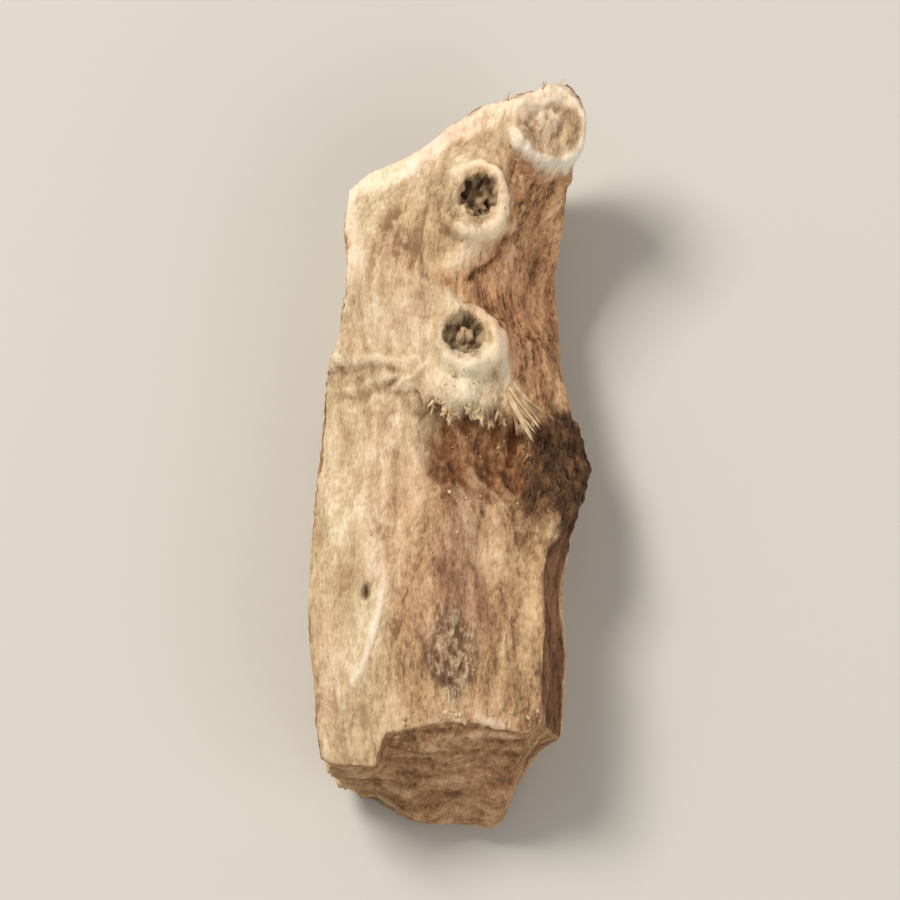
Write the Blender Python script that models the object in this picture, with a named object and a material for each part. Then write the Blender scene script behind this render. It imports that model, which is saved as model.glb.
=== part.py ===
"""A dried, cut piece of calamus root: a strip split from the underside of a rhizome, with its root scars.

The piece lies along Y, with the growing tip towards +Y. Its bark faces up, and its split face lies on z = 0.
It is one solid, because it grew as one piece. Sizes are in millimetres, and MM turns them into metres.
"""

import bmesh
import bpy
import numpy as np

MM = 0.001
NAME = "calamus_root"

# The point of the outline, as (x, y, z), that the part's origin lies on: the middle of its box, at the base
CENTRE = (0.383, 0.761, 0.0)

# Mesh resolution: rings along the piece, rings across each end face, and points round a ring on each facet
BODY_RINGS = 78
END_RINGS = 8
FACET_POINTS = {"bark": 30, "right_face": 8, "right_foot": 3, "underside": 10, "left_foot": 2, "left_face": 7}

# Where the rings and the bark's points gather by the scars, as (share of their count, share of the distance)
RING_SPACING = ((0.0, 0.0), (0.42, 0.58), (1.0, 1.0))
BARK_SPACING = ((0.0, 0.0), (0.34, 0.42), (1.0, 1.0))

# Each ring's height along the piece settles between the two ends in this many steps, by this share in each
SETTLING_STEPS = 10
SETTLING_SHARE = 0.7

# Outline seen from above, as (y, x) stations
LEFT_EDGE = (
    (-10.0, -2.3), (-8.6, -2.9), (-6.1, -3.25), (-3.7, -3.45), (-1.3, -3.3),
    (1.2, -3.0), (2.8, -2.95), (3.9, -2.6), (7.6, -2.45), (10.5, -2.1),
)
BARK_RIGHT_EDGE = (
    (-10.0, 2.2), (-7.6, 2.75), (-4.5, 2.95), (-2.2, 3.1), (-1.0, 3.75), (0.4, 4.15),
    (1.8, 3.75), (3.4, 3.4), (6.5, 3.3), (8.0, 3.6), (9.4, 4.1), (10.6, 3.9),
)

# The bark's crest: where it runs, how high it is, and how fast the bark falls away on each side of it
CREST_X = (
    (-10.0, 0.5), (-4.0, 0.2), (0.0, 0.5), (3.5, 0.8), (5.1, 0.3),
    (6.8, 0.95), (8.4, 1.9), (9.6, 2.9), (10.6, 3.1),
)
CREST_Z = (
    (-10.0, 4.2), (-7.0, 4.9), (-4.0, 5.1), (0.5, 4.9),
    (2.4, 5.25), (4.0, 5.45), (7.4, 5.5), (10.6, 5.0),
)
LEFT_FALL = ((-10.0, 0.13), (-4.0, 0.15), (2.0, 0.17), (6.0, 0.19), (10.0, 0.22))
RIGHT_FALL = ((-10.0, 0.22), (-3.0, 0.2), (0.0, 0.42), (2.5, 0.72), (7.5, 0.82), (10.0, 0.5))
LEFT_FALL_POWER = 1.7
RIGHT_FALL_POWER = 1.25

# The split sides: a knee part way up each, and the edges of the underside
RIGHT_KNEE_X = ((-10.0, 2.6), (-7.0, 3.45), (-2.5, 3.45), (0.4, 4.0), (3.4, 3.35), (7.0, 3.1), (10.6, 3.2))
RIGHT_KNEE_Z = ((-10.0, 1.5), (-3.0, 1.2), (1.0, 1.9), (6.0, 1.3), (10.0, 1.9))
LEFT_KNEE_X = ((-10.0, -2.2), (-4.0, -3.2), (2.0, -2.75), (7.0, -2.1), (10.0, -1.9))
LEFT_KNEE_Z = ((-10.0, 1.3), (-2.0, 0.9), (5.0, 1.5), (10.0, 1.1))
UNDERSIDE_RIGHT = ((-10.0, 1.6), (-5.0, 2.5), (0.0, 2.9), (5.0, 2.2), (10.0, 2.5))
UNDERSIDE_LEFT = ((-10.0, -1.5), (-5.0, -2.5), (0.0, -2.3), (6.0, -1.6), (10.0, -1.1))
UNDERSIDE_HOLLOW = 0.42
UNDERSIDE_LEVEL = 0.08

# The oblique cut across the lower end, which leaves the left strip longer, and the break across the upper end
LOWER_CUT_TOP = (-7.1, 4.9)
LOWER_CUT_LEAN = 0.53
LOWER_CUT_FOOT_Z = 0.9
LOWER_CUT_UNDERCUT = 0.35
LOWER_CUT_ROUNDING = 0.25
LOWER_EDGE = (
    (-3.6, -7.5), (-2.9, -7.95), (-2.2, -8.2), (-1.5, -8.3), (-0.8, -8.85), (0.3, -9.4),
    (1.5, -9.2), (1.85, -8.85), (2.15, -8.1), (2.6, -7.3), (3.5, -6.8),
)
LOWER_STEP = {"x": -1.55, "width": 0.5, "length": 1.1}
UPPER_BREAK = (
    (-2.7, 8.3), (-2.0, 8.8), (-1.2, 8.95), (-0.4, 9.25), (0.3, 9.75), (1.1, 10.15), (2.0, 10.25),
    (2.7, 10.3), (3.1, 10.45), (3.5, 10.65), (3.9, 10.15), (4.25, 9.3),
)
UPPER_BREAK_UNDERCUT = 0.3
UPPER_BREAK_UNDERCUT_Z = 5.0
UPPER_LIP = {"height": 0.28, "in_from_edge": 0.32, "half_width": 0.26, "fades": (2.3, 3.0)}
END_RELIEF = 0.16
END_WAVE = (2.0, 1.0, 2.0)

# Root scars, where roots were cut from the rhizome. Each is a raised ring round a hollow, in which the torn
# strand of the root's core may stand. The hollow lies off the ring's centre, and the strand off the hollow's.
ROOT_SCARS = (
    {"at": (3.14, 9.3), "radius": 1.06, "rise": 0.9, "hollow": 0.6, "depth": 0.24,
     "hollow_off": (-0.05, 0.0), "strand_off": (0.2, 0.25)},
    {"at": (1.0, 7.28), "radius": 1.0, "rise": 0.3, "hollow": 0.55, "depth": 0.75,
     "hollow_off": (0.18, 0.08), "strand_off": (-0.36, -0.36)},
    {"at": (0.78, 3.45), "radius": 0.86, "rise": 0.3, "hollow": 0.54, "depth": 0.55,
     "hollow_off": (-0.08, 0.05), "strand_off": (0.06, 0.1)},
)
SCAR_SHOULDER = 0.1
SCAR_WALL = 0.26
SCAR_WALL_PER_RISE = 0.2
SCAR_DISH = {"depth": 0.4, "from_share": 0.5, "rim": 0.05, "deepest_rise": 0.4}
SCAR_LEAN = 0.25
SCAR_WOBBLE = 0.12
SCAR_WOBBLE_WAVE = (2.2, 2.2, 2.2)
HOLLOW_WALL = (-0.2, 0.06)
STRAND_RADIUS = 0.17
STRAND_WALL = (-0.12, 0.08)
STRAND_HEIGHT = 0.6
WORN_SCAR = {"at": (0.4, -5.3), "half_size": (0.68, 1.1), "depth": 0.16}

# The node ring that crosses the bark, with a lip that stands over a scraped hollow
NODE_LINE = (
    (-3.2, 3.0), (-2.0, 2.6), (-1.0, 2.1), (0.0, 1.55), (0.8, 1.35),
    (1.6, 1.25), (2.4, 1.15), (3.2, 1.0), (4.2, 0.9),
)
NODE_TEETH = 0.14
NODE_TEETH_WAVE = (0.9, 9.0, 9.0)
NODE_STRONG_FROM = (-0.8, 0.3)
NODE_LIP = {"height": 0.3, "faint_share": 0.3, "edge": (-0.12, 0.14), "fades": (0.4, 3.2)}
NODE_SWELL = {"height": 0.14, "above": 0.45, "half_width": 0.42}
SCRAPED = {"depth": 0.3, "fades": (0.6, 2.7), "right_end": (1.9, 2.9)}

# Relief along the grain
SHEATH_STUMP = {"at": (3.3, 0.1), "half_size": (1.3, 1.9), "rise": 0.5}
LEFT_RIDGE = {"x": -2.1, "half_width": 0.6, "height": 0.24, "from_to": (-7.2, 0.8)}
LEFT_GROOVE = {"x": -1.15, "half_width": 0.28, "height": -0.14, "from_to": (-7.6, 0.4)}
SWELL_FADE = 2.0
WRINKLE_DEPTH = 0.085
WRINKLE_WAVE = (0.85, 6.5, 3.0)
SPLIT_RELIEF = 0.1
SPLIT_WAVE = (1.1, 6.0, 0.9)

ROOT_COLOUR = (0.55, 0.40, 0.27, 1.0)


def mix(a, b, share):
    return a + (b - a) * share


def smoothstep(low, high, value):
    share = np.clip((value - low) / (high - low), 0.0, 1.0)
    return share * share * (3.0 - 2.0 * share)


def within(wall, radius, distance):
    """0 inside a radius and 1 outside, over a wall from its inner to its outer offset from the radius."""
    return smoothstep(radius + wall[0], radius + wall[1], distance)


def smooth_max(a, b, softness):
    return 0.5 * (a + b + np.sqrt((a - b) ** 2 + softness**2))


def curve_through(stations, place):
    """The smooth curve through (place, value) stations, held at its end values past them."""
    places, values = np.array(stations).T
    slopes = np.gradient(values, places)
    first = np.clip(np.searchsorted(places, place) - 1, 0, len(places) - 2)
    span = places[first + 1] - places[first]
    t = np.clip((place - places[first]) / span, 0.0, 1.0)
    bend = (t**3 - 2 * t**2 + t) * slopes[first] + (t**3 - t**2) * slopes[first + 1]
    return mix(values[first], values[first + 1], t * t * (3 - 2 * t)) + bend * span


def ripples(points, wavelength, seed, waves=28):
    """Smooth irregular relief from -1 to 1: a sum of seeded waves, of that wavelength along each axis."""
    dice = np.random.default_rng(seed)
    turns = dice.normal(size=(waves, 3))
    turns /= np.linalg.norm(turns, axis=1, keepdims=True)
    turns *= dice.uniform(0.6, 1.5, (waves, 1))
    phases = dice.uniform(0.0, 2 * np.pi, waves)
    total = np.zeros(points.shape[:-1])
    for turn, phase in zip(turns, phases):
        total += np.cos(points @ (2 * np.pi * turn / np.array(wavelength)) + phase)
    return np.clip(total / np.sqrt(waves) * 0.75, -1.0, 1.0)


def plan(x, y):
    """Points in the plane seen from above, for ripples that must not change with height."""
    return np.stack([x, y, np.zeros_like(x)], axis=-1)


def node_line(x):
    """Where the node ring crosses the bark at x, with its ragged teeth."""
    teeth = NODE_TEETH * ripples(plan(x, 0 * x), NODE_TEETH_WAVE, seed=11)
    return curve_through(NODE_LINE, x) + teeth


def long_swell(x, y, swell):
    """A ridge or a groove that runs along the piece between two places."""
    low, high = swell["from_to"]
    across = np.exp(-(((x - swell["x"]) / swell["half_width"]) ** 2))
    along = smoothstep(low, low + SWELL_FADE, y) * (1 - smoothstep(high - SWELL_FADE, high, y))
    return swell["height"] * across * along


def patch(x, y, spot):
    """How far a point lies inside an oval spot, from 0 at its rim to 1 in its middle."""
    across = ((x - spot["at"][0]) / spot["half_size"][0]) ** 2
    along = ((y - spot["at"][1]) / spot["half_size"][1]) ** 2
    return 1 - smoothstep(0.25, 1.0, across + along)


def scar_places(x, y, number):
    """Distances from a root scar's centre, its hollow's centre and its torn strand, made uneven."""
    scar = ROOT_SCARS[number]
    dx, dy = x - scar["at"][0], y - scar["at"][1]
    heading = plan(dx, dy) / (0.2 + np.hypot(dx, dy))[..., None]
    wobble = 1 + SCAR_WOBBLE * ripples(heading, SCAR_WOBBLE_WAVE, seed=40 + number)
    hollow_x, hollow_y = dx - scar["hollow_off"][0], dy - scar["hollow_off"][1]
    from_strand = np.hypot(hollow_x - scar["strand_off"][0], hollow_y - scar["strand_off"][1])
    return np.hypot(dx, dy) * wobble, np.hypot(hollow_x, hollow_y) * wobble, from_strand


def scar_relief(x, y):
    """The raised, dished rings, hollows and torn strands of the root scars, and the worn scar."""
    relief = -WORN_SCAR["depth"] * patch(x, y, WORN_SCAR)
    for number, scar in enumerate(ROOT_SCARS):
        from_centre, from_hollow, from_strand = scar_places(x, y, number)
        radius, wall = scar["radius"], SCAR_WALL + SCAR_WALL_PER_RISE * scar["rise"]
        ring = 1 - smoothstep(radius - SCAR_SHOULDER, radius + wall, from_centre)
        inside = 1 - smoothstep(SCAR_DISH["from_share"] * radius, radius - SCAR_DISH["rim"], from_centre)
        lean = SCAR_LEAN * (x - scar["at"][0] - y + scar["at"][1]) / radius
        dished = min(scar["rise"], SCAR_DISH["deepest_rise"]) * (SCAR_DISH["depth"] * inside - lean)
        hollow = 1 - within(HOLLOW_WALL, scar["hollow"], from_hollow)
        strand = 1 - within(STRAND_WALL, STRAND_RADIUS, from_strand)
        relief += ring * (scar["rise"] - dished)
        relief += scar["depth"] * hollow * (STRAND_HEIGHT * strand - 1)
    return relief


def node_relief(x, y):
    """The lip of the node ring, faint on the left, and the scraped hollow below it."""
    strength = smoothstep(*NODE_STRONG_FROM, x)
    below = node_line(x) - y
    step = smoothstep(*NODE_LIP["edge"], below)
    lip = NODE_LIP["height"] * mix(NODE_LIP["faint_share"], 1.0, strength)
    lip *= 1 - smoothstep(*NODE_LIP["fades"], below)
    scraped = SCRAPED["depth"] * strength * (1 - smoothstep(*SCRAPED["fades"], below))
    scraped *= 1 - smoothstep(*SCRAPED["right_end"], x)
    from_swell = (below + NODE_SWELL["above"]) / NODE_SWELL["half_width"]
    swell = NODE_SWELL["height"] * np.exp(-(from_swell**2))
    return swell - step * (lip + scraped)


def break_line(x):
    """y of the upper break, seen from above."""
    return curve_through(UPPER_BREAK, x)


def upper_lip(x, y):
    """The raised lip of torn bark along the upper break, left of the highest scar."""
    inside = break_line(x) - y - UPPER_LIP["in_from_edge"]
    lip = np.exp(-((inside / UPPER_LIP["half_width"]) ** 2))
    return UPPER_LIP["height"] * lip * (1 - smoothstep(*UPPER_LIP["fades"], x))


def bark_height(x, y):
    """The height of the bark over a point of the plan."""
    side = x - curve_through(CREST_X, y)
    left = curve_through(LEFT_FALL, y) * np.maximum(-side, 0) ** LEFT_FALL_POWER
    right = curve_through(RIGHT_FALL, y) * np.maximum(side, 0) ** RIGHT_FALL_POWER
    height = curve_through(CREST_Z, y) - left - right
    height += SHEATH_STUMP["rise"] * patch(x, y, SHEATH_STUMP)
    height += long_swell(x, y, LEFT_RIDGE) + long_swell(x, y, LEFT_GROOVE) + upper_lip(x, y)
    height += WRINKLE_DEPTH * ripples(plan(x, y), WRINKLE_WAVE, seed=3)
    return height + node_relief(x, y) + scar_relief(x, y)


def underside_height(x, y):
    """The split face that the piece rests on: flat where it touches, hollowed along the grain between."""
    hollow = UNDERSIDE_HOLLOW * ripples(plan(x, y), (2.6, 8.5, 4.0), seed=21)
    return np.maximum(hollow - UNDERSIDE_LEVEL, 0.0)


def section(facet, share, y):
    """x and z of a point that lies at this share of a facet's width, on the section at y."""
    left, right = curve_through(LEFT_EDGE, y), curve_through(BARK_RIGHT_EDGE, y)
    foot_right, foot_left = curve_through(UNDERSIDE_RIGHT, y), curve_through(UNDERSIDE_LEFT, y)
    corners = {
        "bark": (left, bark_height(left, y)),
        "right_face": (right, bark_height(right, y)),
        "right_foot": (curve_through(RIGHT_KNEE_X, y), curve_through(RIGHT_KNEE_Z, y)),
        "underside": (foot_right, underside_height(foot_right, y)),
        "left_foot": (foot_left, underside_height(foot_left, y)),
        "left_face": (curve_through(LEFT_KNEE_X, y), curve_through(LEFT_KNEE_Z, y)),
    }
    names = list(corners)
    following = corners[names[(names.index(facet) + 1) % len(names)]]
    x, z = (mix(a, b, share) for a, b in zip(corners[facet], following))
    if facet == "bark":
        z = bark_height(x, y)
    elif facet == "underside":
        z = underside_height(x, y)
    return x, z


def lower_end(x, z):
    """y of the oblique cut across the lower end, where the left strip ends lower."""
    top_y, top_z = LOWER_CUT_TOP
    above, under = np.maximum(z, LOWER_CUT_FOOT_Z), np.maximum(LOWER_CUT_FOOT_Z - z, 0)
    cut = top_y - LOWER_CUT_LEAN * (top_z - above) + LOWER_CUT_UNDERCUT * under
    edge, width = LOWER_STEP["x"], LOWER_STEP["width"]
    cut -= LOWER_STEP["length"] * (1 - smoothstep(edge - width / 2, edge + width / 2, x))
    return smooth_max(cut, curve_through(LOWER_EDGE, x), LOWER_CUT_ROUNDING)


def upper_end(x, z):
    """y of the break across the upper end, which draws back below the bark."""
    return break_line(x) - UPPER_BREAK_UNDERCUT * np.maximum(UPPER_BREAK_UNDERCUT_Z - z, 0)


def end_relief(x, z, seed):
    """The torn grain of an end face, in and out along Y."""
    return END_RELIEF * ripples(np.stack([x, 0 * x, z], axis=-1), END_WAVE, seed)


def ring_facets():
    """The name of the facet that each point round a ring lies on."""
    return [facet for facet, count in FACET_POINTS.items() for _ in range(count)]


def body_rings():
    """The rings along the piece, as an array of rings by points by (x, y, z)."""
    along = curve_through(RING_SPACING, np.linspace(0.0, 1.0, BODY_RINGS))[:, None]
    facets = []
    for facet, count in FACET_POINTS.items():
        shares = np.arange(count) / count
        if facet == "bark":
            shares = curve_through(BARK_SPACING, shares)
        y = mix(LOWER_CUT_TOP[0], UPPER_BREAK[0][1], along) + 0 * shares
        for _ in range(SETTLING_STEPS):
            x, z = section(facet, shares, y)
            y = mix(y, mix(lower_end(x, z), upper_end(x, z), along), SETTLING_SHARE)
        facets.append(np.stack([x, y, z], axis=-1))
    return np.concatenate(facets, axis=1)


def end_rings(rim, end, seed):
    """Rings that close an end, from the rim inwards, and the point in the middle."""
    middle = rim.mean(axis=0)
    rings = []
    for share in np.linspace(1.0, 0.0, END_RINGS + 1)[1:]:
        x = mix(middle[0], rim[:, 0], share)
        z = mix(middle[2], rim[:, 2], share)
        fade = 1 - share**6
        rings.append(np.stack([x, end(x, z) + fade * end_relief(x, z, seed), z], axis=-1))
    return np.array(rings[:-1]), rings[-1][0]


def grain_relief(rings):
    """Pushes the split sides in and out along the grain, and leaves the bark and the resting spots alone."""
    across = np.roll(rings, -1, axis=1) - np.roll(rings, 1, axis=1)
    along = np.gradient(rings, axis=0)
    normals = np.cross(along, across)
    normals /= np.linalg.norm(normals, axis=-1, keepdims=True)
    sides = np.array([facet not in ("bark", "underside") for facet in ring_facets()], float)
    sides = (sides + np.roll(sides, 1) + np.roll(sides, -1)) / 3
    depth = SPLIT_RELIEF * ripples(rings, SPLIT_WAVE, seed=31) * sides[None, :]
    moved = rings + normals * depth[..., None]
    moved[..., 2] = np.maximum(moved[..., 2], 0.0)
    return moved


def skin(rings, first_point, last_point):
    """One closed mesh over a row of rings and the two points that close its ends."""
    shape = bmesh.new()
    rows = [[shape.verts.new(point * MM) for point in ring] for ring in rings]
    first, last = shape.verts.new(first_point * MM), shape.verts.new(last_point * MM)
    count = len(rows[0])
    for low, high in zip(rows, rows[1:]):
        for n in range(count):
            following = (n + 1) % count
            shape.faces.new((low[n], high[n], high[following], low[following]))
    for n in range(count):
        following = (n + 1) % count
        shape.faces.new((first, rows[0][n], rows[0][following]))
        shape.faces.new((last, rows[-1][following], rows[-1][n]))
    bmesh.ops.recalc_face_normals(shape, faces=shape.faces)
    bmesh.ops.triangulate(shape, faces=shape.faces, quad_method="SHORT_EDGE")
    mesh = bpy.data.meshes.new(NAME)
    shape.to_mesh(mesh)
    shape.free()
    return mesh


def root_material():
    material = bpy.data.materials.new("dried_root")
    material.use_nodes = True
    surface = material.node_tree.nodes["Principled BSDF"]
    surface.inputs["Base Color"].default_value = ROOT_COLOUR
    surface.inputs["Roughness"].default_value = 0.85
    surface.inputs["Metallic"].default_value = 0.0
    return material


def build():
    for old in list(bpy.data.objects):
        bpy.data.objects.remove(old)
    body = grain_relief(body_rings())
    lower, lower_point = end_rings(body[0], lower_end, seed=51)
    upper, upper_point = end_rings(body[-1], upper_end, seed=61)
    rings = np.concatenate([lower[::-1], body, upper])
    mesh = skin(rings - CENTRE, lower_point - CENTRE, upper_point - CENTRE)
    mesh.materials.append(root_material())
    mesh.shade_smooth()
    piece = bpy.data.objects.new(NAME, mesh)
    bpy.context.scene.collection.objects.link(piece)


build()
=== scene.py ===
"""Looks of the dried calamus root: a fine skin over the solid, its loose fibres and crumbs, and the studio.

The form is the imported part's own, from the same named values, in millimetres on the part's drawing. CENTRE is
the point of that drawing where the frame's origin lies, and MM turns millimetres into metres.
"""

import math

import bmesh
import bpy
import numpy as np
from mathutils import Euler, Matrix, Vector
from mathutils.bvhtree import BVHTree


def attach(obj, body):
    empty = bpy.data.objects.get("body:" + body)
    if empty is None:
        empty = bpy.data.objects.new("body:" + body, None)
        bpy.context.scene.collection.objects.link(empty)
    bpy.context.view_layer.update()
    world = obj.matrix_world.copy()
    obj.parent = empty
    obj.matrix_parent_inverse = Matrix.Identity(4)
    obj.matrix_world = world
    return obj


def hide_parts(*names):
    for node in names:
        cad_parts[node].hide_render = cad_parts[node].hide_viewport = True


MM = 0.001
NODE = "calamus_root"
CENTRE = (0.383, 0.761, 0.0)

# Mesh resolution: rings along the piece, rings across each end face, and points round a ring on each facet
BODY_RINGS = 270
END_RINGS = 34
FACET_POINTS = {
    "bark": 132, "right_face": 44, "right_foot": 18, "underside": 46, "left_foot": 16, "left_face": 44,
}

# An end's rings keep each, every second or every fourth point above these shares of the end's size, and its
# relief fades towards the rim by this power
END_THINNING = ((0.62, 1), (0.28, 2), (-1.0, 4))
END_RELIEF_POWER = 6

# Where the rings and the bark's points gather by the scars, as (share of their count, share of the distance)
RING_SPACING = ((0.0, 0.0), (0.46, 0.54), (1.0, 1.0))
BARK_SPACING = ((0.0, 0.0), (0.38, 0.42), (1.0, 1.0))

# Each ring's height along the piece settles between the two ends in this many steps, by this share in each
SETTLING_STEPS = 10
SETTLING_SHARE = 0.7

# Outline seen from above, as (y, x) stations
LEFT_EDGE = (
    (-10.0, -2.3), (-8.6, -2.9), (-6.1, -3.25), (-3.7, -3.45), (-1.3, -3.3),
    (1.2, -3.0), (2.8, -2.95), (3.9, -2.6), (7.6, -2.45), (10.5, -2.1),
)
BARK_RIGHT_EDGE = (
    (-10.0, 2.2), (-7.6, 2.75), (-4.5, 2.95), (-2.2, 3.1), (-1.0, 3.75), (0.4, 4.15),
    (1.8, 3.75), (3.4, 3.4), (6.5, 3.3), (8.0, 3.6), (9.4, 4.1), (10.6, 3.9),
)

# The bark's crest: where it runs, how high it is, and how fast the bark falls away on each side of it
CREST_X = (
    (-10.0, 0.5), (-4.0, 0.2), (0.0, 0.5), (3.5, 0.8), (5.1, 0.3),
    (6.8, 0.95), (8.4, 1.9), (9.6, 2.9), (10.6, 3.1),
)
CREST_Z = (
    (-10.0, 4.2), (-7.0, 4.9), (-4.0, 5.1), (0.5, 4.9),
    (2.4, 5.25), (4.0, 5.45), (7.4, 5.5), (10.6, 5.0),
)
LEFT_FALL = ((-10.0, 0.13), (-4.0, 0.15), (2.0, 0.17), (6.0, 0.19), (10.0, 0.22))
RIGHT_FALL = ((-10.0, 0.22), (-3.0, 0.2), (0.0, 0.42), (2.5, 0.72), (7.5, 0.82), (10.0, 0.5))
LEFT_FALL_POWER = 1.7
RIGHT_FALL_POWER = 1.25

# The split sides: a knee part way up each, and the edges of the underside
RIGHT_KNEE_X = ((-10.0, 2.6), (-7.0, 3.45), (-2.5, 3.45), (0.4, 4.0), (3.4, 3.35), (7.0, 3.1), (10.6, 3.2))
RIGHT_KNEE_Z = ((-10.0, 1.5), (-3.0, 1.2), (1.0, 1.9), (6.0, 1.3), (10.0, 1.9))
LEFT_KNEE_X = ((-10.0, -2.2), (-4.0, -3.2), (2.0, -2.75), (7.0, -2.1), (10.0, -1.9))
LEFT_KNEE_Z = ((-10.0, 1.3), (-2.0, 0.9), (5.0, 1.5), (10.0, 1.1))
UNDERSIDE_RIGHT = ((-10.0, 1.6), (-5.0, 2.5), (0.0, 2.9), (5.0, 2.2), (10.0, 2.5))
UNDERSIDE_LEFT = ((-10.0, -1.5), (-5.0, -2.5), (0.0, -2.3), (6.0, -1.6), (10.0, -1.1))
UNDERSIDE_HOLLOW = 0.42
UNDERSIDE_LEVEL = 0.08

# The oblique cut across the lower end, which leaves the left strip longer, and the break across the upper end
LOWER_CUT_TOP = (-7.1, 4.9)
LOWER_CUT_LEAN = 0.53
LOWER_CUT_FOOT_Z = 0.9
LOWER_CUT_UNDERCUT = 0.35
LOWER_CUT_ROUNDING = 0.25
LOWER_EDGE = (
    (-3.6, -7.5), (-2.9, -7.95), (-2.2, -8.2), (-1.5, -8.3), (-0.8, -8.85), (0.3, -9.4),
    (1.5, -9.2), (1.85, -8.85), (2.15, -8.1), (2.6, -7.3), (3.5, -6.8),
)
LOWER_STEP = {"x": -1.55, "width": 0.5, "length": 1.1}
UPPER_BREAK = (
    (-2.7, 8.3), (-2.0, 8.8), (-1.2, 8.95), (-0.4, 9.25), (0.3, 9.75), (1.1, 10.15), (2.0, 10.25),
    (2.7, 10.3), (3.1, 10.45), (3.5, 10.65), (3.9, 10.15), (4.25, 9.3),
)
UPPER_BREAK_UNDERCUT = 0.3
UPPER_BREAK_UNDERCUT_Z = 5.0
UPPER_LIP = {"height": 0.28, "in_from_edge": 0.32, "half_width": 0.26, "fades": (2.3, 3.0)}
END_RELIEF = 0.16
END_WAVE = (2.0, 1.0, 2.0)

# Root scars, where roots were cut from the rhizome. Each is a raised ring round a hollow, in which the torn
# strand of the root's core may stand. The hollow lies off the ring's centre, and the strand off the hollow's.
ROOT_SCARS = (
    {"at": (3.14, 9.3), "radius": 1.06, "rise": 0.9, "hollow": 0.6, "depth": 0.24,
     "hollow_off": (-0.05, 0.0), "strand_off": (0.2, 0.25)},
    {"at": (1.0, 7.28), "radius": 1.0, "rise": 0.3, "hollow": 0.55, "depth": 0.75,
     "hollow_off": (0.18, 0.08), "strand_off": (-0.36, -0.36)},
    {"at": (0.78, 3.45), "radius": 0.86, "rise": 0.3, "hollow": 0.54, "depth": 0.55,
     "hollow_off": (-0.08, 0.05), "strand_off": (0.06, 0.1)},
)
SCAR_SHOULDER = 0.1
SCAR_WALL = 0.26
SCAR_WALL_PER_RISE = 0.2
SCAR_DISH = {"depth": 0.4, "from_share": 0.5, "rim": 0.05, "deepest_rise": 0.4}
SCAR_LEAN = 0.25
SCAR_WOBBLE = 0.12
SCAR_WOBBLE_WAVE = (2.2, 2.2, 2.2)
HOLLOW_WALL = (-0.2, 0.06)
STRAND_RADIUS = 0.17
STRAND_WALL = (-0.12, 0.08)
STRAND_HEIGHT = 0.6
WORN_SCAR = {"at": (0.4, -5.3), "half_size": (0.68, 1.1), "depth": 0.16}

# The node ring that crosses the bark, with a lip that stands over a scraped hollow
NODE_LINE = (
    (-3.2, 3.0), (-2.0, 2.6), (-1.0, 2.1), (0.0, 1.55), (0.8, 1.35),
    (1.6, 1.25), (2.4, 1.15), (3.2, 1.0), (4.2, 0.9),
)
NODE_TEETH = 0.14
NODE_TEETH_WAVE = (0.9, 9.0, 9.0)
NODE_STRONG_FROM = (-0.8, 0.3)
NODE_LIP = {"height": 0.3, "faint_share": 0.3, "edge": (-0.12, 0.14), "fades": (0.4, 3.2)}
NODE_SWELL = {"height": 0.14, "above": 0.45, "half_width": 0.42}
SCRAPED = {"depth": 0.3, "fades": (0.6, 2.7), "right_end": (1.9, 2.9)}

# Relief along the grain
SHEATH_STUMP = {"at": (3.3, 0.1), "half_size": (1.3, 1.9), "rise": 0.5}
LEFT_RIDGE = {"x": -2.1, "half_width": 0.6, "height": 0.24, "from_to": (-7.2, 0.8)}
LEFT_GROOVE = {"x": -1.15, "half_width": 0.28, "height": -0.14, "from_to": (-7.6, 0.4)}
SWELL_FADE = 2.0
WRINKLE_DEPTH = 0.085
WRINKLE_WAVE = (0.85, 6.5, 3.0)
SPLIT_RELIEF = 0.1
SPLIT_WAVE = (1.1, 6.0, 0.9)

# Where the pale skin of the bark gives way to brown, as (y, x) stations. The change is softer below the node
# and between the two hollow scars.
PALE_EDGE = (
    (-9.5, -1.3), (-6.5, -1.4), (-4.0, -1.15), (-1.5, -0.95), (0.3, -0.65), (1.1, 0.1), (1.6, 1.6),
    (2.2, 1.9), (3.2, 1.8), (3.9, 1.2), (4.6, 0.45), (5.2, 0.15), (5.6, 0.65), (6.0, 1.3), (6.6, 1.8),
    (7.4, 1.95), (8.2, 2.0), (8.8, 2.1), (9.4, 2.3), (10.0, 2.6),
)
PALE_SOFTNESS = {"below": 0.75, "above": 0.16, "change": (0.8, 2.4), "ragged": 0.3}
PALE_SOFT_STRETCH = {"extra": 0.3, "starts": (3.6, 4.6), "ends": (5.6, 6.6)}

# The thin raised fibre on the left of the lower bark, as (y, x) stations, and the small hole beside it
VEIN_LINE = ((-6.6, -2.7), (-5.5, -1.95), (-4.8, -1.76), (-3.7, -1.5), (-2.8, -1.42), (-2.2, -1.7))
VEIN = {"half_width": 0.12, "height": 0.06, "starts": (-6.4, -5.2), "ends": (-3.3, -2.4)}
VEIN_HOLE = {"at": (-1.9, -3.5), "wall": (0.06, 0.2), "flattening": 0.7, "depth": 0.3}

# The torn skin over the scraped hollow: its lobes, the fine shreds of its edge, and where along X it is torn
FRINGE_LOBES = {"height": 0.208, "middle": 0.4, "wave": (0.7, 9.0, 9.0)}
FRINGE_SHREDS = {"height": 0.052, "wave": (0.15, 9.0, 9.0)}
FRINGE_STEP = {"depth": 0.2, "edge": (-0.05, 0.05), "starts": (-1.2, -0.4), "ends": (2.2, 2.8)}

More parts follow.
